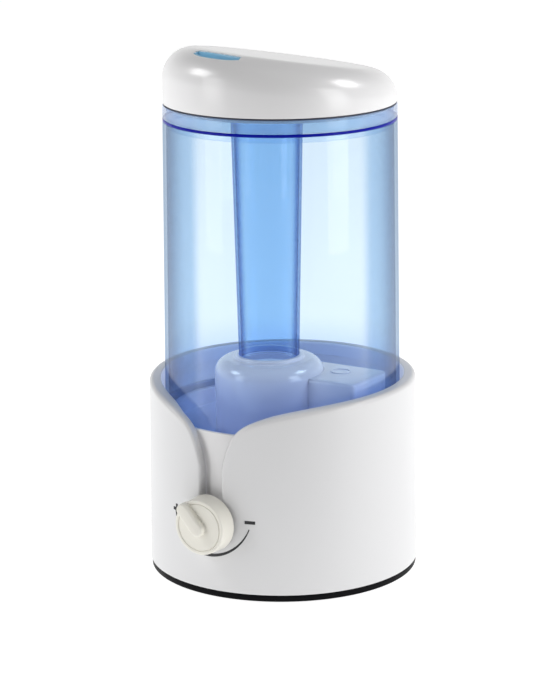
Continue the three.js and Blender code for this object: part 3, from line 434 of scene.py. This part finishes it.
# ---- Base shell ------------------------------------------------------------------
shell_low, shell_high = span("outer_shell")
panel_high = span("inner_housing")[1]
knob_low, knob_high = span("knob")
SHELL_RADIUS = 92.0
SHELL_DRAFT = 0.0112
SHELL_INNER = 88.3
SLOT_EDGE = math.radians(5.35)
SLOT_BOTTOM = 61.0
SLOT_SHOULDER = 90.0
SLOT_RETURN = 84.6
LIP_RADIUS = 81.8
RIM = shell_high.z
KNOB_AXIS = (knob_low.z + knob_high.z) / 2
ROUND_RADIUS = 91.0  # radius at which distances round the shell are measured
CORNER_RISE = 22.3  # quick rise of the rim beside the slot
CORNER_SPREAD = 3.1  # degrees
SWEEP_SPREAD = 23.6  # degrees over which the rest of the rim rises
FINE_STEP, COARSE_STEP, STEP_GROWTH = 0.12, 1.6, 1.06  # columns are closest beside the slot


def shell_radius(height):
    return SHELL_RADIUS - SHELL_DRAFT * height


def rim_height(angle):
    away = abs(math.atan2(math.sin(angle), math.cos(angle)))
    spread = max(0.0, math.degrees(away - SLOT_EDGE))
    corner = CORNER_RISE * (1 - math.exp(-spread / CORNER_SPREAD))
    sweep = (RIM - SLOT_SHOULDER - CORNER_RISE) * (1 - math.exp(-spread / SWEEP_SPREAD))
    return SLOT_SHOULDER + corner + sweep


def outer_shell():
    steps = [0.0]
    gap = FINE_STEP
    while steps[-1] < math.pi * ROUND_RADIUS - SLOT_EDGE * ROUND_RADIUS:
        steps.append(steps[-1] + gap)
        gap = min(gap * STEP_GROWTH, COARSE_STEP)
    steps = [s * (math.pi - SLOT_EDGE) / steps[-1] for s in steps]
    right = [SLOT_EDGE + s for s in steps]
    left = [2 * math.pi - a for a in right[::-1]][1:]
    outside = right + left
    inside = [-SLOT_EDGE + 2 * SLOT_EDGE * k / 14 for k in range(1, 14)]
    side = SLOT_EDGE * ROUND_RADIUS
    edge = [(side * k / 12, SLOT_BOTTOM) for k in range(12)]
    edge += [(side, SLOT_BOTTOM + (SLOT_SHOULDER - SLOT_BOTTOM) * k / 90) for k in range(90)]
    edge += [(a * ROUND_RADIUS, rim_height(a)) for a in right]
    edge = np.array(edge)

    def roundoff(angle, height, top):
        away = abs(math.atan2(math.sin(angle), math.cos(angle)))
        distance = math.sqrt(((edge - (away * ROUND_RADIUS, height)) ** 2).sum(1).min())
        if top:
            distance = 0.0
        blend = min(1.0, max(0.0, (height - 92) / 26))
        radius = 1.6 + 1.6 * blend
        if distance >= radius:
            return 0.0
        return radius - math.sqrt(radius ** 2 - (radius - distance) ** 2)

    points, faces = [], []

    def column(angle, pairs):
        first = len(points)
        for radius, height in pairs:
            points.append((radius * math.sin(angle), -radius * math.cos(angle), height))
        return list(range(first, len(points)))

    bottom = shell_low.z
    low_rows = [bottom + 0.5, bottom + 1.2, bottom + 3]
    low_rows += [bottom + 3 + (SLOT_BOTTOM - 6 - bottom - 3) * k / 12 for k in range(1, 13)]
    low_rows += [SLOT_BOTTOM - 6 + 6 * (1 - (1 - k / 8) ** 2) for k in range(1, 9)]

    def lower(angle):
        outer = [(shell_radius(h) - roundoff(angle, h, False), h) for h in low_rows]
        turned = [(shell_radius(bottom) - 0.5, bottom), (shell_radius(bottom) - 0.15, bottom + 0.15)]
        return [(SHELL_INNER, SLOT_BOTTOM), (SHELL_INNER, bottom)] + turned + outer

    def upper(angle):
        rim = rim_height(angle)
        lip = SLOT_RETURN + (LIP_RADIUS - SLOT_RETURN) * min(1.0, max(0.0, (rim - 121.5) / 5))
        away = math.degrees(abs(math.atan2(math.sin(angle), math.cos(angle))))
        inner = SLOT_RETURN + (SHELL_INNER - SLOT_RETURN) * min(1.0, max(0.0, (away - 7.6) / 1.5))
        rows = []
        for k in range(45):
            height = rim - (rim - SLOT_BOTTOM) * (1 - k / 44) ** 2
            rows.append((shell_radius(height) - roundoff(angle, height, k == 44), height))
        rows.append((lip + 3, rim))
        for k in range(7):
            turn = math.pi / 2 * k / 6
            rows.append((lip + 1.8 * (1 - math.sin(turn)), rim - 1.8 * (1 - math.cos(turn))))
        rows += [(lip, rim - 9), (min(inner, SHELL_INNER), rim - 11)]
        rows += [(inner, SLOT_BOTTOM), (SHELL_INNER, SLOT_BOTTOM)]
        return rows

    ring = [(a, True) for a in outside] + [(a, False) for a in inside]
    lowers = [column(a, lower(a)) for a, _ in ring]
    for i in range(len(ring)):
        here, after = lowers[i], lowers[(i + 1) % len(ring)]
        for k in range(len(here) - 1):
            faces.append([here[k], after[k], after[k + 1], here[k + 1]])
    uppers = [column(a, upper(a)) for a in outside]
    for here, after in zip(uppers, uppers[1:]):
        for k in range(len(here) - 1):
            faces.append([here[k], after[k], after[k + 1], here[k + 1]])
    faces.append(uppers[0][::-1])
    faces.append(uppers[-1])
    slot_floor = lowers[len(outside) - 1:] + lowers[:1]
    for here, after in zip(slot_floor, slot_floor[1:]):
        faces.append([here[-1], after[-1], after[0], here[0]])
    return raw("shell_skin", points, faces)


# The shell is dressed in the darker satin white, which is painted shade.
shell = dressed(outer_shell(), white_satin_shaded, "base", ["outer_shell"])
# Inner faces of the shell get the glowing white: painted light standing in for light coming through the thin
# wall.
shell.data.materials.append(white_lit)
for face in shell.data.polygons:
    if face.center.xy.length < 0.0885 and face.normal.dot((face.center.x, face.center.y, 0)) < -0.05:
        face.material_index = 1

# ---- Scale printed round the knob ----------------------------------------------------


def on_shell(along, z, lift):
    """A point on the shell, the given distance round it from the front."""
    radius = shell_radius(z) + lift
    turn = along / shell_radius(z)
    return (radius * math.sin(turn), -radius * math.cos(turn), z)


def printed(name, patches):
    """Thin ink on the shell; each patch is a grid of (distance round the shell, height)."""
    points, faces = [], []
    for patch in patches:
        first, width = len(points), len(patch[0])
        for lift in (0.02, 0.08):
            for row in patch:
                points += [on_shell(along, z, lift) for along, z in row]
        layer = len(patch) * width
        for r in range(len(patch) - 1):
            for c in range(width - 1):
                a = first + r * width + c
                quad = [a, a + 1, a + width + 1, a + width]
                faces += [quad[::-1], [k + layer for k in quad]]
        border = [first + c for c in range(width)]
        border += [first + r * width + width - 1 for r in range(1, len(patch))]
        border += [first + (len(patch) - 1) * width + c for c in range(width - 2, -1, -1)]
        border += [first + r * width for r in range(len(patch) - 2, 0, -1)]
        for here, after in zip(border, border[1:] + border[:1]):
            faces.append([here, after, after + layer, here + layer])
    return raw(name, points, faces)


def bar(along, z, half_width, half_height, count=8):
    places = [along - half_width + 2 * half_width * c / count for c in range(count + 1)]
    return [[(place, z + side * half_height) for place in places] for side in (-1, 1)]


ARC_SIDE, ARC_RISE, ARC_RADIUS = -2.7, 8.9, 32.9  # centre from the knob's axis, and outer radius
arc = []
for k in range(73):
    share = k / 72
    turn = math.radians(-19.3 - 151 * share)
    outer = ARC_RADIUS - 3.0 * share ** 4
    inner = ARC_RADIUS - 0.7 - 3.8 * share
    arc.append([(ARC_SIDE + radius * math.cos(turn), KNOB_AXIS + ARC_RISE + radius * math.sin(turn))
                for radius in (inner, (inner + outer) / 2, outer)])
MARK_HEIGHT = KNOB_AXIS + 2.9
MINUS_PLACE, PLUS_PLACE = 28.6, -30.6  # distances round the shell
BAR_HALF_LENGTH, BAR_HALF_WIDTH = 3.6, 1.1
marks = [arc]
marks += [bar(place, MARK_HEIGHT, BAR_HALF_LENGTH, BAR_HALF_WIDTH) for place in (MINUS_PLACE, PLUS_PLACE)]
marks += [bar(PLUS_PLACE, MARK_HEIGHT + side * 2.35, BAR_HALF_WIDTH, 1.25, 2) for side in (-1, 1)]
scale_print = printed("scale_print", marks)
finish_mesh(scale_print)
scale_print.data.materials.append(ink)
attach(scale_print, "base")

# ---- Housing inside the shell -----------------------------------------------------------
HOUSING_WALL = 2.6
BASIN_FLOOR = 76.0
BASIN_RADIUS = 75.4
LEDGE = 100.7
MIST_Y = middle(span("mist_chimney"))[1]
FLOAT_X, FLOAT_Y = middle(span("float"))
CAP_Y = middle(span("filler_cap"))[1]
HOUSING_BOTTOM = 13.0
HOUSING_TOP = 112.0


def housing():
    outer = panel_high.x
    wall = outer - HOUSING_WALL
    bowl = revolve("housing_skin", rounded([
        (0, BASIN_FLOOR - PLASTIC), (BASIN_RADIUS + PLASTIC, BASIN_FLOOR - PLASTIC),
        (BASIN_RADIUS + PLASTIC, LEDGE - PLASTIC), (wall, LEDGE - PLASTIC), (wall, HOUSING_BOTTOM),
        (outer, HOUSING_BOTTOM), (outer, HOUSING_TOP, 0.9), (wall, HOUSING_TOP, 0.9), (wall, LEDGE, 1.2),
        (BASIN_RADIUS, LEDGE, 1.6), (BASIN_RADIUS, BASIN_FLOOR, 5), (0, BASIN_FLOOR),
    ], 5))
    boss = revolve("boss", [(0, 68), (17, 68), (17, BASIN_FLOOR - 1), (0, BASIN_FLOOR - 1)], 48, 0, MIST_Y)
    valve_post = extrude("valve_post", circle(3.5, 0, CAP_Y), BASIN_FLOOR - 1, 79.8, 0.6)
    float_post = extrude("float_post", circle(3, FLOAT_X, FLOAT_Y), BASIN_FLOOR - 1, 94.8, 0.8)
    fuse(bowl, boss, valve_post, float_post)
    well = extrude("well", circle(13.4, 0, MIST_Y), 60, 74.2)
    window = extrude("window", circle(10, 0, MIST_Y), 60, 90)
    duct = extrude("duct", rectangle(41, 61, -15, 9, 1), 60, 90)
    return cut(bowl, well, window, duct)


dressed(housing(), white, "base", ["inner_housing"])
tower_low, tower_high = span("air_tower")
TOWER_WALL = 2.0


def tower_outline(inset, radius):
    left, right = tower_low.x + inset, tower_high.x - inset
    front, back = tower_low.y + inset, tower_high.y - inset
    return rectangle(left, right, front, back, radius)


tower = extrude("tower_body", tower_outline(0, 2), tower_low.z, tower_high.z, 0.8)
cut(tower, extrude("duct", tower_outline(TOWER_WALL, 1), 60, 140))
# The tower's white glows faintly: painted light.
dressed(tower, white_inner_glow, "base", ["air_tower"])

# ---- Pan ------------------------------------------------------------------------------------
pan_high = span("base_pan")[1]
feet = [span(f"foot_{i}") for i in range(1, 5)]
screws = [span(f"base_screw_{i}") for i in range(1, 5)]
posts = [span(f"board_screw_{i}") for i in range(1, 5)]
VENT_RADIUS = 20.5
VENT_PITCH = 8


def pan():
    outer = pan_high.x
    body = revolve("pan_body", rounded([
        (0, 1), (outer, 1, 0.5), (outer, 5.3, 0.4), (87.8, 5.3), (87.8, 12, 0.5), (85.6, 12, 0.5),
        (85.6, 4), (0, 4),
    ], 4))
    for box in posts:
        x, y = middle(box)
        fuse(body, extrude("post", circle(3.2, x, y, 24), 3.5, 29.7))
    for box in feet:
        x, y = middle(box)
        cut(body, extrude("recess", circle(8.3, x, y), 0, 2.3))
    for box in screws:
        x, y = middle(box)
        cut(body, extrude("hole", circle(2.2, x, y, 24), 0, 6))
        cut(body, extrude("head", circle(4.2, x, y, 32), 0, 2.6))
    fan_x, fan_y = middle(span("fan_frame"))
    for row in range(-2, 3):
        half = math.sqrt(VENT_RADIUS ** 2 - (row * VENT_PITCH) ** 2)
        y = fan_y + row * VENT_PITCH
        cut(body, extrude("vent", rectangle(fan_x - half, fan_x + half, y - 1.8, y + 1.8, 1.7), 0, 6))
    return body


dressed(pan(), black, "base", ["base_pan"])

# ---- Tank ------------------------------------------------------------------------------------
wall_low, wall_high = span("tank_wall")
TANK_DRAFT = 0.00955
TANK_WALL = 2.4
COLLAR_WALL = 2.6
TUBE_WALL = 1.8
TUBE_DRAFT = 0.0215
PLATE_BOTTOM = 308.2
PLATE_RIB = (4.7, 2.7)  # the rib below the plate, inwards from its edge


def tank_radius(height):
    return wall_high.x - TANK_DRAFT * (height - wall_low.z)


z0, z1 = wall_low.z, wall_high.z
tank = revolve("tank_body", rounded([
    (tank_radius(z0) - TANK_WALL, z0, 0.5), (tank_radius(z0), z0, 0.8),
    (tank_radius(z1), z1, 0.4), (tank_radius(z1) - TANK_WALL, z1, 0.3),
], 4))
dressed(tank, clear_blue, "tank", ["tank_wall"])

top_low, top_high = span("tank_top")
edge = top_high.x
tube_low, tube_high = span("mist_tube")


def tube_radius(height):
    return tube_high.x - TUBE_DRAFT * (tube_high.z - height)


plate = revolve("top_plate", rounded([
    (0, PLATE_BOTTOM), (edge - PLATE_RIB[0], PLATE_BOTTOM), (edge - PLATE_RIB[0], top_low.z, 0.4),
    (edge - PLATE_RIB[1], top_low.z, 0.4), (edge - PLATE_RIB[1], PLATE_BOTTOM), (edge, PLATE_BOTTOM, 0.4),
    (edge, top_high.z, 0.5), (0, top_high.z),
], 4))
cut(plate, extrude("hole", circle(tube_radius(top_high.z) + 0.3, 0, MIST_Y, MEDIUM), 300, 320))
plate = dressed(plate, plate_blue, "tank", ["tank_top"])
# The plate's edge faces get the glowing navy: painted light.
plate.data.materials.append(deep_blue)
for face in plate.data.polygons:
    if face.center.xy.length > (edge - 0.6) * MM:
        face.material_index = 1

collar_low, collar_high = span("tank_collar")
collar = revolve("collar_body", rounded([
    (collar_high.x - COLLAR_WALL, collar_low.z), (collar_high.x, collar_low.z, 0.5),
    (collar_high.x - 0.08, collar_high.z, 0.7), (collar_high.x - COLLAR_WALL, collar_high.z, 0.4),
], 4))
dressed(collar, collar_blue, "tank", ["tank_collar"])

t0, t1 = tube_low.z, tube_high.z
tube = revolve("tube_body", rounded([
    (tube_radius(t0) - TUBE_WALL, t0, 0.4), (tube_radius(t0), t0, 0.6),
    (tube_radius(t1), t1, 0.5), (tube_radius(t1) - TUBE_WALL, t1, 0.5),
], 4), MEDIUM, 0, MIST_Y)
dressed(tube, tube_blue, "tank", ["mist_tube"])

floor_low, floor_high = span("tank_floor")
box_low, box_high = span("air_box")
dome_low, dome_high = span("mist_dome")
neck_low, neck_high = span("filler_neck")
SUNK_RADIUS = 72.2
FLANGE_RADIUS = 77.3
SUNK_TOP = dome_low.z - 0.3
BOX_TOP = box_high.z - 0.6
DOME_RADIUS = dome_high.x
COLLAR_RISE = 2.5  # raised ring round the tube's socket
DOME_TOP = dome_high.z - COLLAR_RISE


def box_hollow(name, bottom, top):
    """Hollow of the air box; below the flange it keeps inside the sunken pan."""
    outline = rectangle(0, box_high.x - PLASTIC, box_low.y + PLASTIC, box_high.y - PLASTIC, 2.5)
    hollow = extrude(name, outline, bottom, top)
    trim = revolve("trim", [(SUNK_RADIUS - 2.8, bottom - 1), (90, bottom - 1), (90, floor_high.z + 2.8),
                            (SUNK_RADIUS - 2.8, floor_high.z + 2.8)], MEDIUM)
    return cut(hollow, trim)


pan_piece = revolve("floor_pan", rounded([
    (0, floor_low.z), (SUNK_RADIUS + 2, floor_low.z, 1.5), (SUNK_RADIUS + 2, wall_low.z),
    (FLANGE_RADIUS, wall_low.z, 0.6), (FLANGE_RADIUS, floor_high.z, 0.5), (SUNK_RADIUS, floor_high.z, 1.0),
    (SUNK_RADIUS, SUNK_TOP, 2.0), (0, SUNK_TOP),
], 5))
cut(pan_piece, extrude("dome_hole", circle(DOME_RADIUS - PLASTIC, 0, MIST_Y, MEDIUM), 90, 110),
    extrude("neck_hole", circle(22, 0, CAP_Y, MEDIUM), 90, 110), box_hollow("box_hole", 90, 110))
dressed(pan_piece, pan_blue, "tank", ["tank_floor"])

dome = revolve("dome_body", rounded([
    (0, dome_low.z), (DOME_RADIUS, dome_low.z), (DOME_RADIUS, DOME_TOP, 9.8), (23.3, DOME_TOP, 0.7),
    (23.3, dome_high.z, 0.9), (0, dome_high.z),
], 12), MEDIUM, 0, MIST_Y)
cut(dome, revolve("cavity", rounded([
    (0, 90), (DOME_RADIUS - PLASTIC, 90), (DOME_RADIUS - PLASTIC, DOME_TOP - PLASTIC, 7.3),
    (0, DOME_TOP - PLASTIC),
], 10), MEDIUM, 0, MIST_Y))
cut(dome, extrude("socket", circle(20.75, 0, MIST_Y, MEDIUM), tube_low.z - 1.2, 160),
    extrude("bore", circle(18.2, 0, MIST_Y, MEDIUM), 130, 160),
    extrude("dome_window", rectangle(18, 40, -20, 8), 101, 134))
dome = dressed(dome, lavender, "tank", ["mist_dome"])
# Faces inside the dome get the glowing lavender: painted light where the cavity lies in shade.
dome.data.materials.append(lavender_lit)
axis = Vector((0, MIST_Y * MM, 0))
for face in dome.data.polygons:
    is_inside = (face.center - axis).xy.length < 0.0345 and face.center.z < (DOME_TOP + 1) * MM
    if is_inside and face.normal.z < 0.2:
        face.material_index = 1

air_box = extrude("air_box_body", rectangle(8, box_high.x, box_low.y, box_high.y, 4), box_low.z, BOX_TOP, 2.2)
fuse(air_box, revolve("mark", rounded([
    (5.6, BOX_TOP - 1), (7, BOX_TOP - 1), (7, box_high.z, 0.4), (5.6, box_high.z, 0.4),
], 3), 48, 45.3, 1.7))
cut(air_box, revolve("beside", [(SUNK_RADIUS - 0.3, 90), (90, 90), (90, floor_high.z + 0.3),
                                (SUNK_RADIUS - 0.3, floor_high.z + 0.3)]),
    extrude("dome_room", circle(DOME_RADIUS + 0.3, 0, MIST_Y, MEDIUM), 90, 150),
    box_hollow("inside", 90, BOX_TOP - PLASTIC))
dressed(air_box, lavender, "tank", ["air_box"])

neck = revolve("neck_body", rounded([
    (16.5, neck_low.z, 0.4), (19, neck_low.z, 0.6), (19, neck_high.z - PLASTIC), (22, neck_high.z - PLASTIC),
    (22, dome_low.z), (24.2, dome_low.z), (24.2, neck_high.z, 1.0), (16.5, neck_high.z, 0.8),
], 4), MEDIUM, 0, CAP_Y)
dressed(neck, lavender, "tank", ["filler_neck"])

# ---- Lid -------------------------------------------------------------------------------------
ring_low, ring_high = span("lid_seat_ring")
LID_RADIUS = span("lid")[1].x
LID_BOTTOM = ring_high.z + 0.2
LID_TOP = 349.58
LID_SLOPE = 0.1641
LID_HIGH_SIDE = math.radians(-21.7)
LID_FILLET = 20.9
OUTLET_ANGLE = math.radians(-9)
OUTLET_HALF = math.radians(17.5)
LID_WALL = 2.6
PLUG_INNER, PLUG_OUTER = 72.6, 74.6  # the ring that centres the lid in the collar
PLUG_BOTTOM, PLUG_TOP = 316.6, 330.0


def lid_skin(angle, inset, steps):
    slope = LID_SLOPE * math.cos(angle - LID_HIGH_SIDE)
    fillet = LID_FILLET - inset
    centre = LID_RADIUS - inset - fillet
    height = LID_TOP - inset + slope * centre - fillet * math.hypot(1, slope)
    end = math.pi / 2 + math.atan(slope)
    pairs = [(centre + fillet * math.cos(end * k / steps), height + fillet * math.sin(end * k / steps))
             for k in range(steps + 1)]
    last_radius, last_height = pairs[-1]
    for k in range(1, 7):
        pairs.append((last_radius * (1 - k / 6), last_height + (LID_TOP - inset - last_height) * k / 6))
    return pairs


def lid_solid(name, inset, bottom, edge_round, segments=ROUND):
    """The lid's outer or inner form, closed by a flat underside."""
    outer = LID_RADIUS - inset
    points, faces = [], []
    for s in range(segments):
        angle = 2 * math.pi * s / segments
        pairs = [(0.0, bottom), (outer - edge_round, bottom)]
        pairs += [(outer - edge_round * (1 - math.sin(math.pi / 2 * k / 4)),
                   bottom + edge_round * (1 - math.cos(math.pi / 2 * k / 4))) for k in range(1, 5)]
        pairs += lid_skin(angle, inset, 24)
        for radius, height in pairs:
            points.append((radius * math.sin(angle), -radius * math.cos(angle), height))
    count = len(pairs)
    for s in range(segments):
        here, after = s * count, (s + 1) % segments * count
        for k in range(count - 1):
            faces.append([here + k, after + k, after + k + 1, here + k + 1])
    piece = raw(name, points, faces)
    return finish_mesh(piece)


def crescent(margin, steps=40):
    """The outlet's outline from above, grown by a margin, counter-clockwise."""
    outer, inner = 67.2 + margin, 59.6 - margin
    half = OUTLET_HALF + margin / 63
    shape = []
    for k in range(steps + 1):
        angle = OUTLET_ANGLE - half + 2 * half * k / steps
        radius = outer - 1.9 * abs(2 * k / steps - 1) ** 3
        shape.append((radius * math.sin(angle), -radius * math.cos(angle)))
    for k in range(steps, -1, -1):
        angle = OUTLET_ANGLE - half + 2 * half * k / steps
        radius = inner + 1.2 * abs(2 * k / steps - 1) ** 3
        shape.append((radius * math.sin(angle), -radius * math.cos(angle)))
    return shape


lid_piece = lid_solid("lid_body", 0.0, LID_BOTTOM, 0.9)
cut(lid_piece, lid_solid("lid_hollow", LID_WALL, LID_BOTTOM - 5, 0.4))
plug = revolve("plug", rounded([
    (PLUG_INNER, PLUG_BOTTOM, 0.5), (PLUG_OUTER, PLUG_BOTTOM, 0.5), (PLUG_OUTER, 322), (76, 322),
    (76, 324.5), (PLUG_OUTER, PLUG_TOP), (PLUG_INNER, PLUG_TOP),
], 4))
fuse(lid_piece, plug)
cut(lid_piece, extrude("opening", crescent(0.3), 330, 380))
dressed(lid_piece, white, "lid", ["lid"])

insert = extrude("insert_body", crescent(-0.1), 336, 380)
cut(insert, extrude("inside", crescent(-1.0), 330, 390))
combine(insert, lid_solid("limit", 0.5, 300, 0.4), "INTERSECT")
dressed(insert, outlet_blue, "lid", ["outlet_insert"])

seat = revolve("seat_ring_body", rounded([
    (ring_high.x - 2.5, ring_low.z), (ring_high.x, ring_low.z, 0.25), (ring_high.x, ring_high.z, 0.25),
    (ring_high.x - 2.5, ring_high.z),
], 3))
dressed(seat, seat_ring_dark, "lid_ring", ["lid_seat_ring"])

# ---- Knob ------------------------------------------------------------------------------------
KNOB_BACK = -knob_high.y
KNOB_TIP = -knob_low.y
KNOB_FACE = 105.2
KNOB_TURN = math.radians(132)  # where the grip points at rest


def knob():
    body = revolve("knob_body", rounded([
        (0, KNOB_BACK + 1.5), (16.5, KNOB_BACK + 1.5), (16.5, KNOB_BACK), (19.4, KNOB_BACK, 0.5),
        (18.6, KNOB_FACE, 0.9), (16.5, KNOB_FACE, 0.25), (16.0, KNOB_FACE - 0.8, 0.2),
        (15.5, KNOB_FACE, 0.25), (0, KNOB_FACE),
    ], 6), MEDIUM)
    outline = rounded([(-5.4, -4.9, 4.8), (19.6, -4.5, 4.2), (19.6, 4.5, 4.2), (-5.4, 4.9, 4.8)], 8)
    grip = extrude("grip", outline, KNOB_FACE - 1.5, KNOB_TIP, 1.6)
    grip.data.transform(Matrix.Rotation(KNOB_TURN, 4, "Z"))
    fuse(body, grip)
    cut(body, extrude("bore", circle(3.3), 80, 100.3))
    return forwards(body, KNOB_AXIS)


dressed(knob(), ivory, "knob", ["knob"])

# ---- Materials of the CAD pieces that are shown as they are ---------------------------------------
def numbered(name, count):
    return [f"{name}_{i}" for i in range(1, count + 1)]


by_material = {
    rubber: [*numbered("foot", 4), "cord_gland"],
    steel: [*numbered("base_screw", 4), *numbered("board_screw", 4), *numbered("retainer_screw", 2),
            "transducer_retainer", "transformer_core", "potentiometer", "pot_nut", "pot_shaft",
            "valve_spring"],
    # The mist chimney glows: painted light inside the dark dome.
    white_lit: ["mist_chimney"],
    # The float, clip, duct, cap and plunger glow faintly: painted light.
    white_inner_glow: ["float", "float_clip", "air_duct", "filler_cap", "valve_plunger"],
    # The tube seal glows: painted light.
    lavender_lit: ["tube_seal"],
    silicone: ["transducer_gasket", "cap_gasket", "valve_seal"],
    brass: ["transducer"],
    dark_frame: ["fan_frame", "fan_rotor", "reed_switch", "power_transistor"],
    capacitor_black: ["capacitor"],
    board: ["driver_board"],
    aluminium: ["heat_sink"],
    copper: ["inductor", "transformer_coil"],
}
for material, names in by_material.items():
    for name in names:
        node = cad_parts[name]
        node.data.materials.clear()
        node.data.materials.append(material)

# ---- Studio ----------------------------------------------------------------------------------
scene = bpy.context.scene
scene.view_settings.view_transform = "Standard"
scene.cycles.transparent_max_bounces = 32

HEADING = math.radians(32)  # where the camera stands, from the front towards +X
PITCH = math.radians(75.61)
ROLL = math.radians(0.116)
ASIDE = math.radians(-0.535)
REACH = 1.6817
EYE_HEIGHT = 0.5808
eye = bpy.data.objects.new("eye", bpy.data.cameras.new("eye"))
scene.collection.objects.link(eye)
eye.data.lens = 131.35
eye.data.sensor_width = 36
eye.matrix_world = (
    Matrix.Translation((REACH * math.sin(HEADING), -REACH * math.cos(HEADING), EYE_HEIGHT))
    @ Matrix.Rotation(HEADING, 4, "Z") @ Matrix.Rotation(PITCH, 4, "X")
    @ Matrix.Rotation(ROLL, 4, "Y") @ Matrix.Rotation(ASIDE, 4, "Z")
)
scene.camera = eye

room = Nodes(bpy.data.worlds.new("studio"), "ShaderNodeOutputWorld", "Generated")
scene.world = room.owner
towards = room.along(room.coordinates, (math.sin(HEADING), -math.cos(HEADING), 0.3))
around = room.stepped(towards, -0.95, 0.15, 1.0, 0.12)
split = room.add("ShaderNodeSeparateXYZ")
room.link(room.coordinates, split.inputs["Vector"])
overhead = room.stepped(split.outputs["Z"], 0.12, 0.6, 1.0, 0.5)
dimmed = room.add("ShaderNodeMath", operation="MULTIPLY")
room.link(around, dimmed.inputs[0])
room.link(overhead, dimmed.inputs[1])
sky = room.add("ShaderNodeBackground")
sky.inputs["Color"].default_value = (1, 1, 1, 1)
room.link(dimmed.outputs["Value"], sky.inputs["Strength"])
room.link(sky.outputs["Background"], room.output.inputs["Surface"])

bpy.ops.mesh.primitive_circle_add(vertices=96, radius=12, fill_type="NGON", location=(0, 0, 0))
floor = bpy.context.object
floor.name = "floor"
ground = Nodes(bpy.data.materials.new("floor_white"))
matt = ground.add("ShaderNodeBsdfDiffuse")
matt.inputs["Color"].default_value = (0.5, 0.5, 0.5, 1)
glow = ground.add("ShaderNodeEmission")
nearer = ground.along(ground.coordinates, (math.sin(HEADING), -math.cos(HEADING), 0))
ground.link(ground.stepped(nearer, 0.05, 0.9, 0.93, 0.42), glow.inputs["Strength"])
both = ground.add("ShaderNodeAddShader")
ground.link(matt.outputs["BSDF"], both.inputs[0])
ground.link(glow.outputs["Emission"], both.inputs[1])
ground.link(both.outputs["Shader"], ground.output.inputs["Surface"])
floor.data.materials.append(ground.owner)


def softbox(name, azimuth, elevation, distance, width, height, power):
    """A soft light aimed at the middle of the object; the azimuth is from the front towards +X."""
    light = bpy.data.lights.new(name, "AREA")
    light.shape = "RECTANGLE"
    light.size, light.size_y, light.energy = width, height, power
    lamp = bpy.data.objects.new(name, light)
    scene.collection.objects.link(lamp)
    a, e = math.radians(azimuth), math.radians(elevation)
    back = Vector((math.sin(a) * math.cos(e), -math.cos(a) * math.cos(e), math.sin(e)))
    lamp.location = Vector((0, 0, 0.18)) + back * distance
    lamp.rotation_mode = "QUATERNION"
    lamp.rotation_quaternion = (-back).to_track_quat("-Z", "Y")
    return lamp


softbox("left_box", -59, 36, 1.4, 0.5, 0.4, 6)
softbox("right_box", 121, 42, 1.4, 0.5, 0.4, 7)
softbox("left_wall", -34, 10, 1.5, 0.5, 1.2, 6)
softbox("right_wall", 88, 10, 1.5, 0.6, 1.2, 10)
softbox("top_box", 32, 75, 1.6, 0.9, 0.9, 0.4)
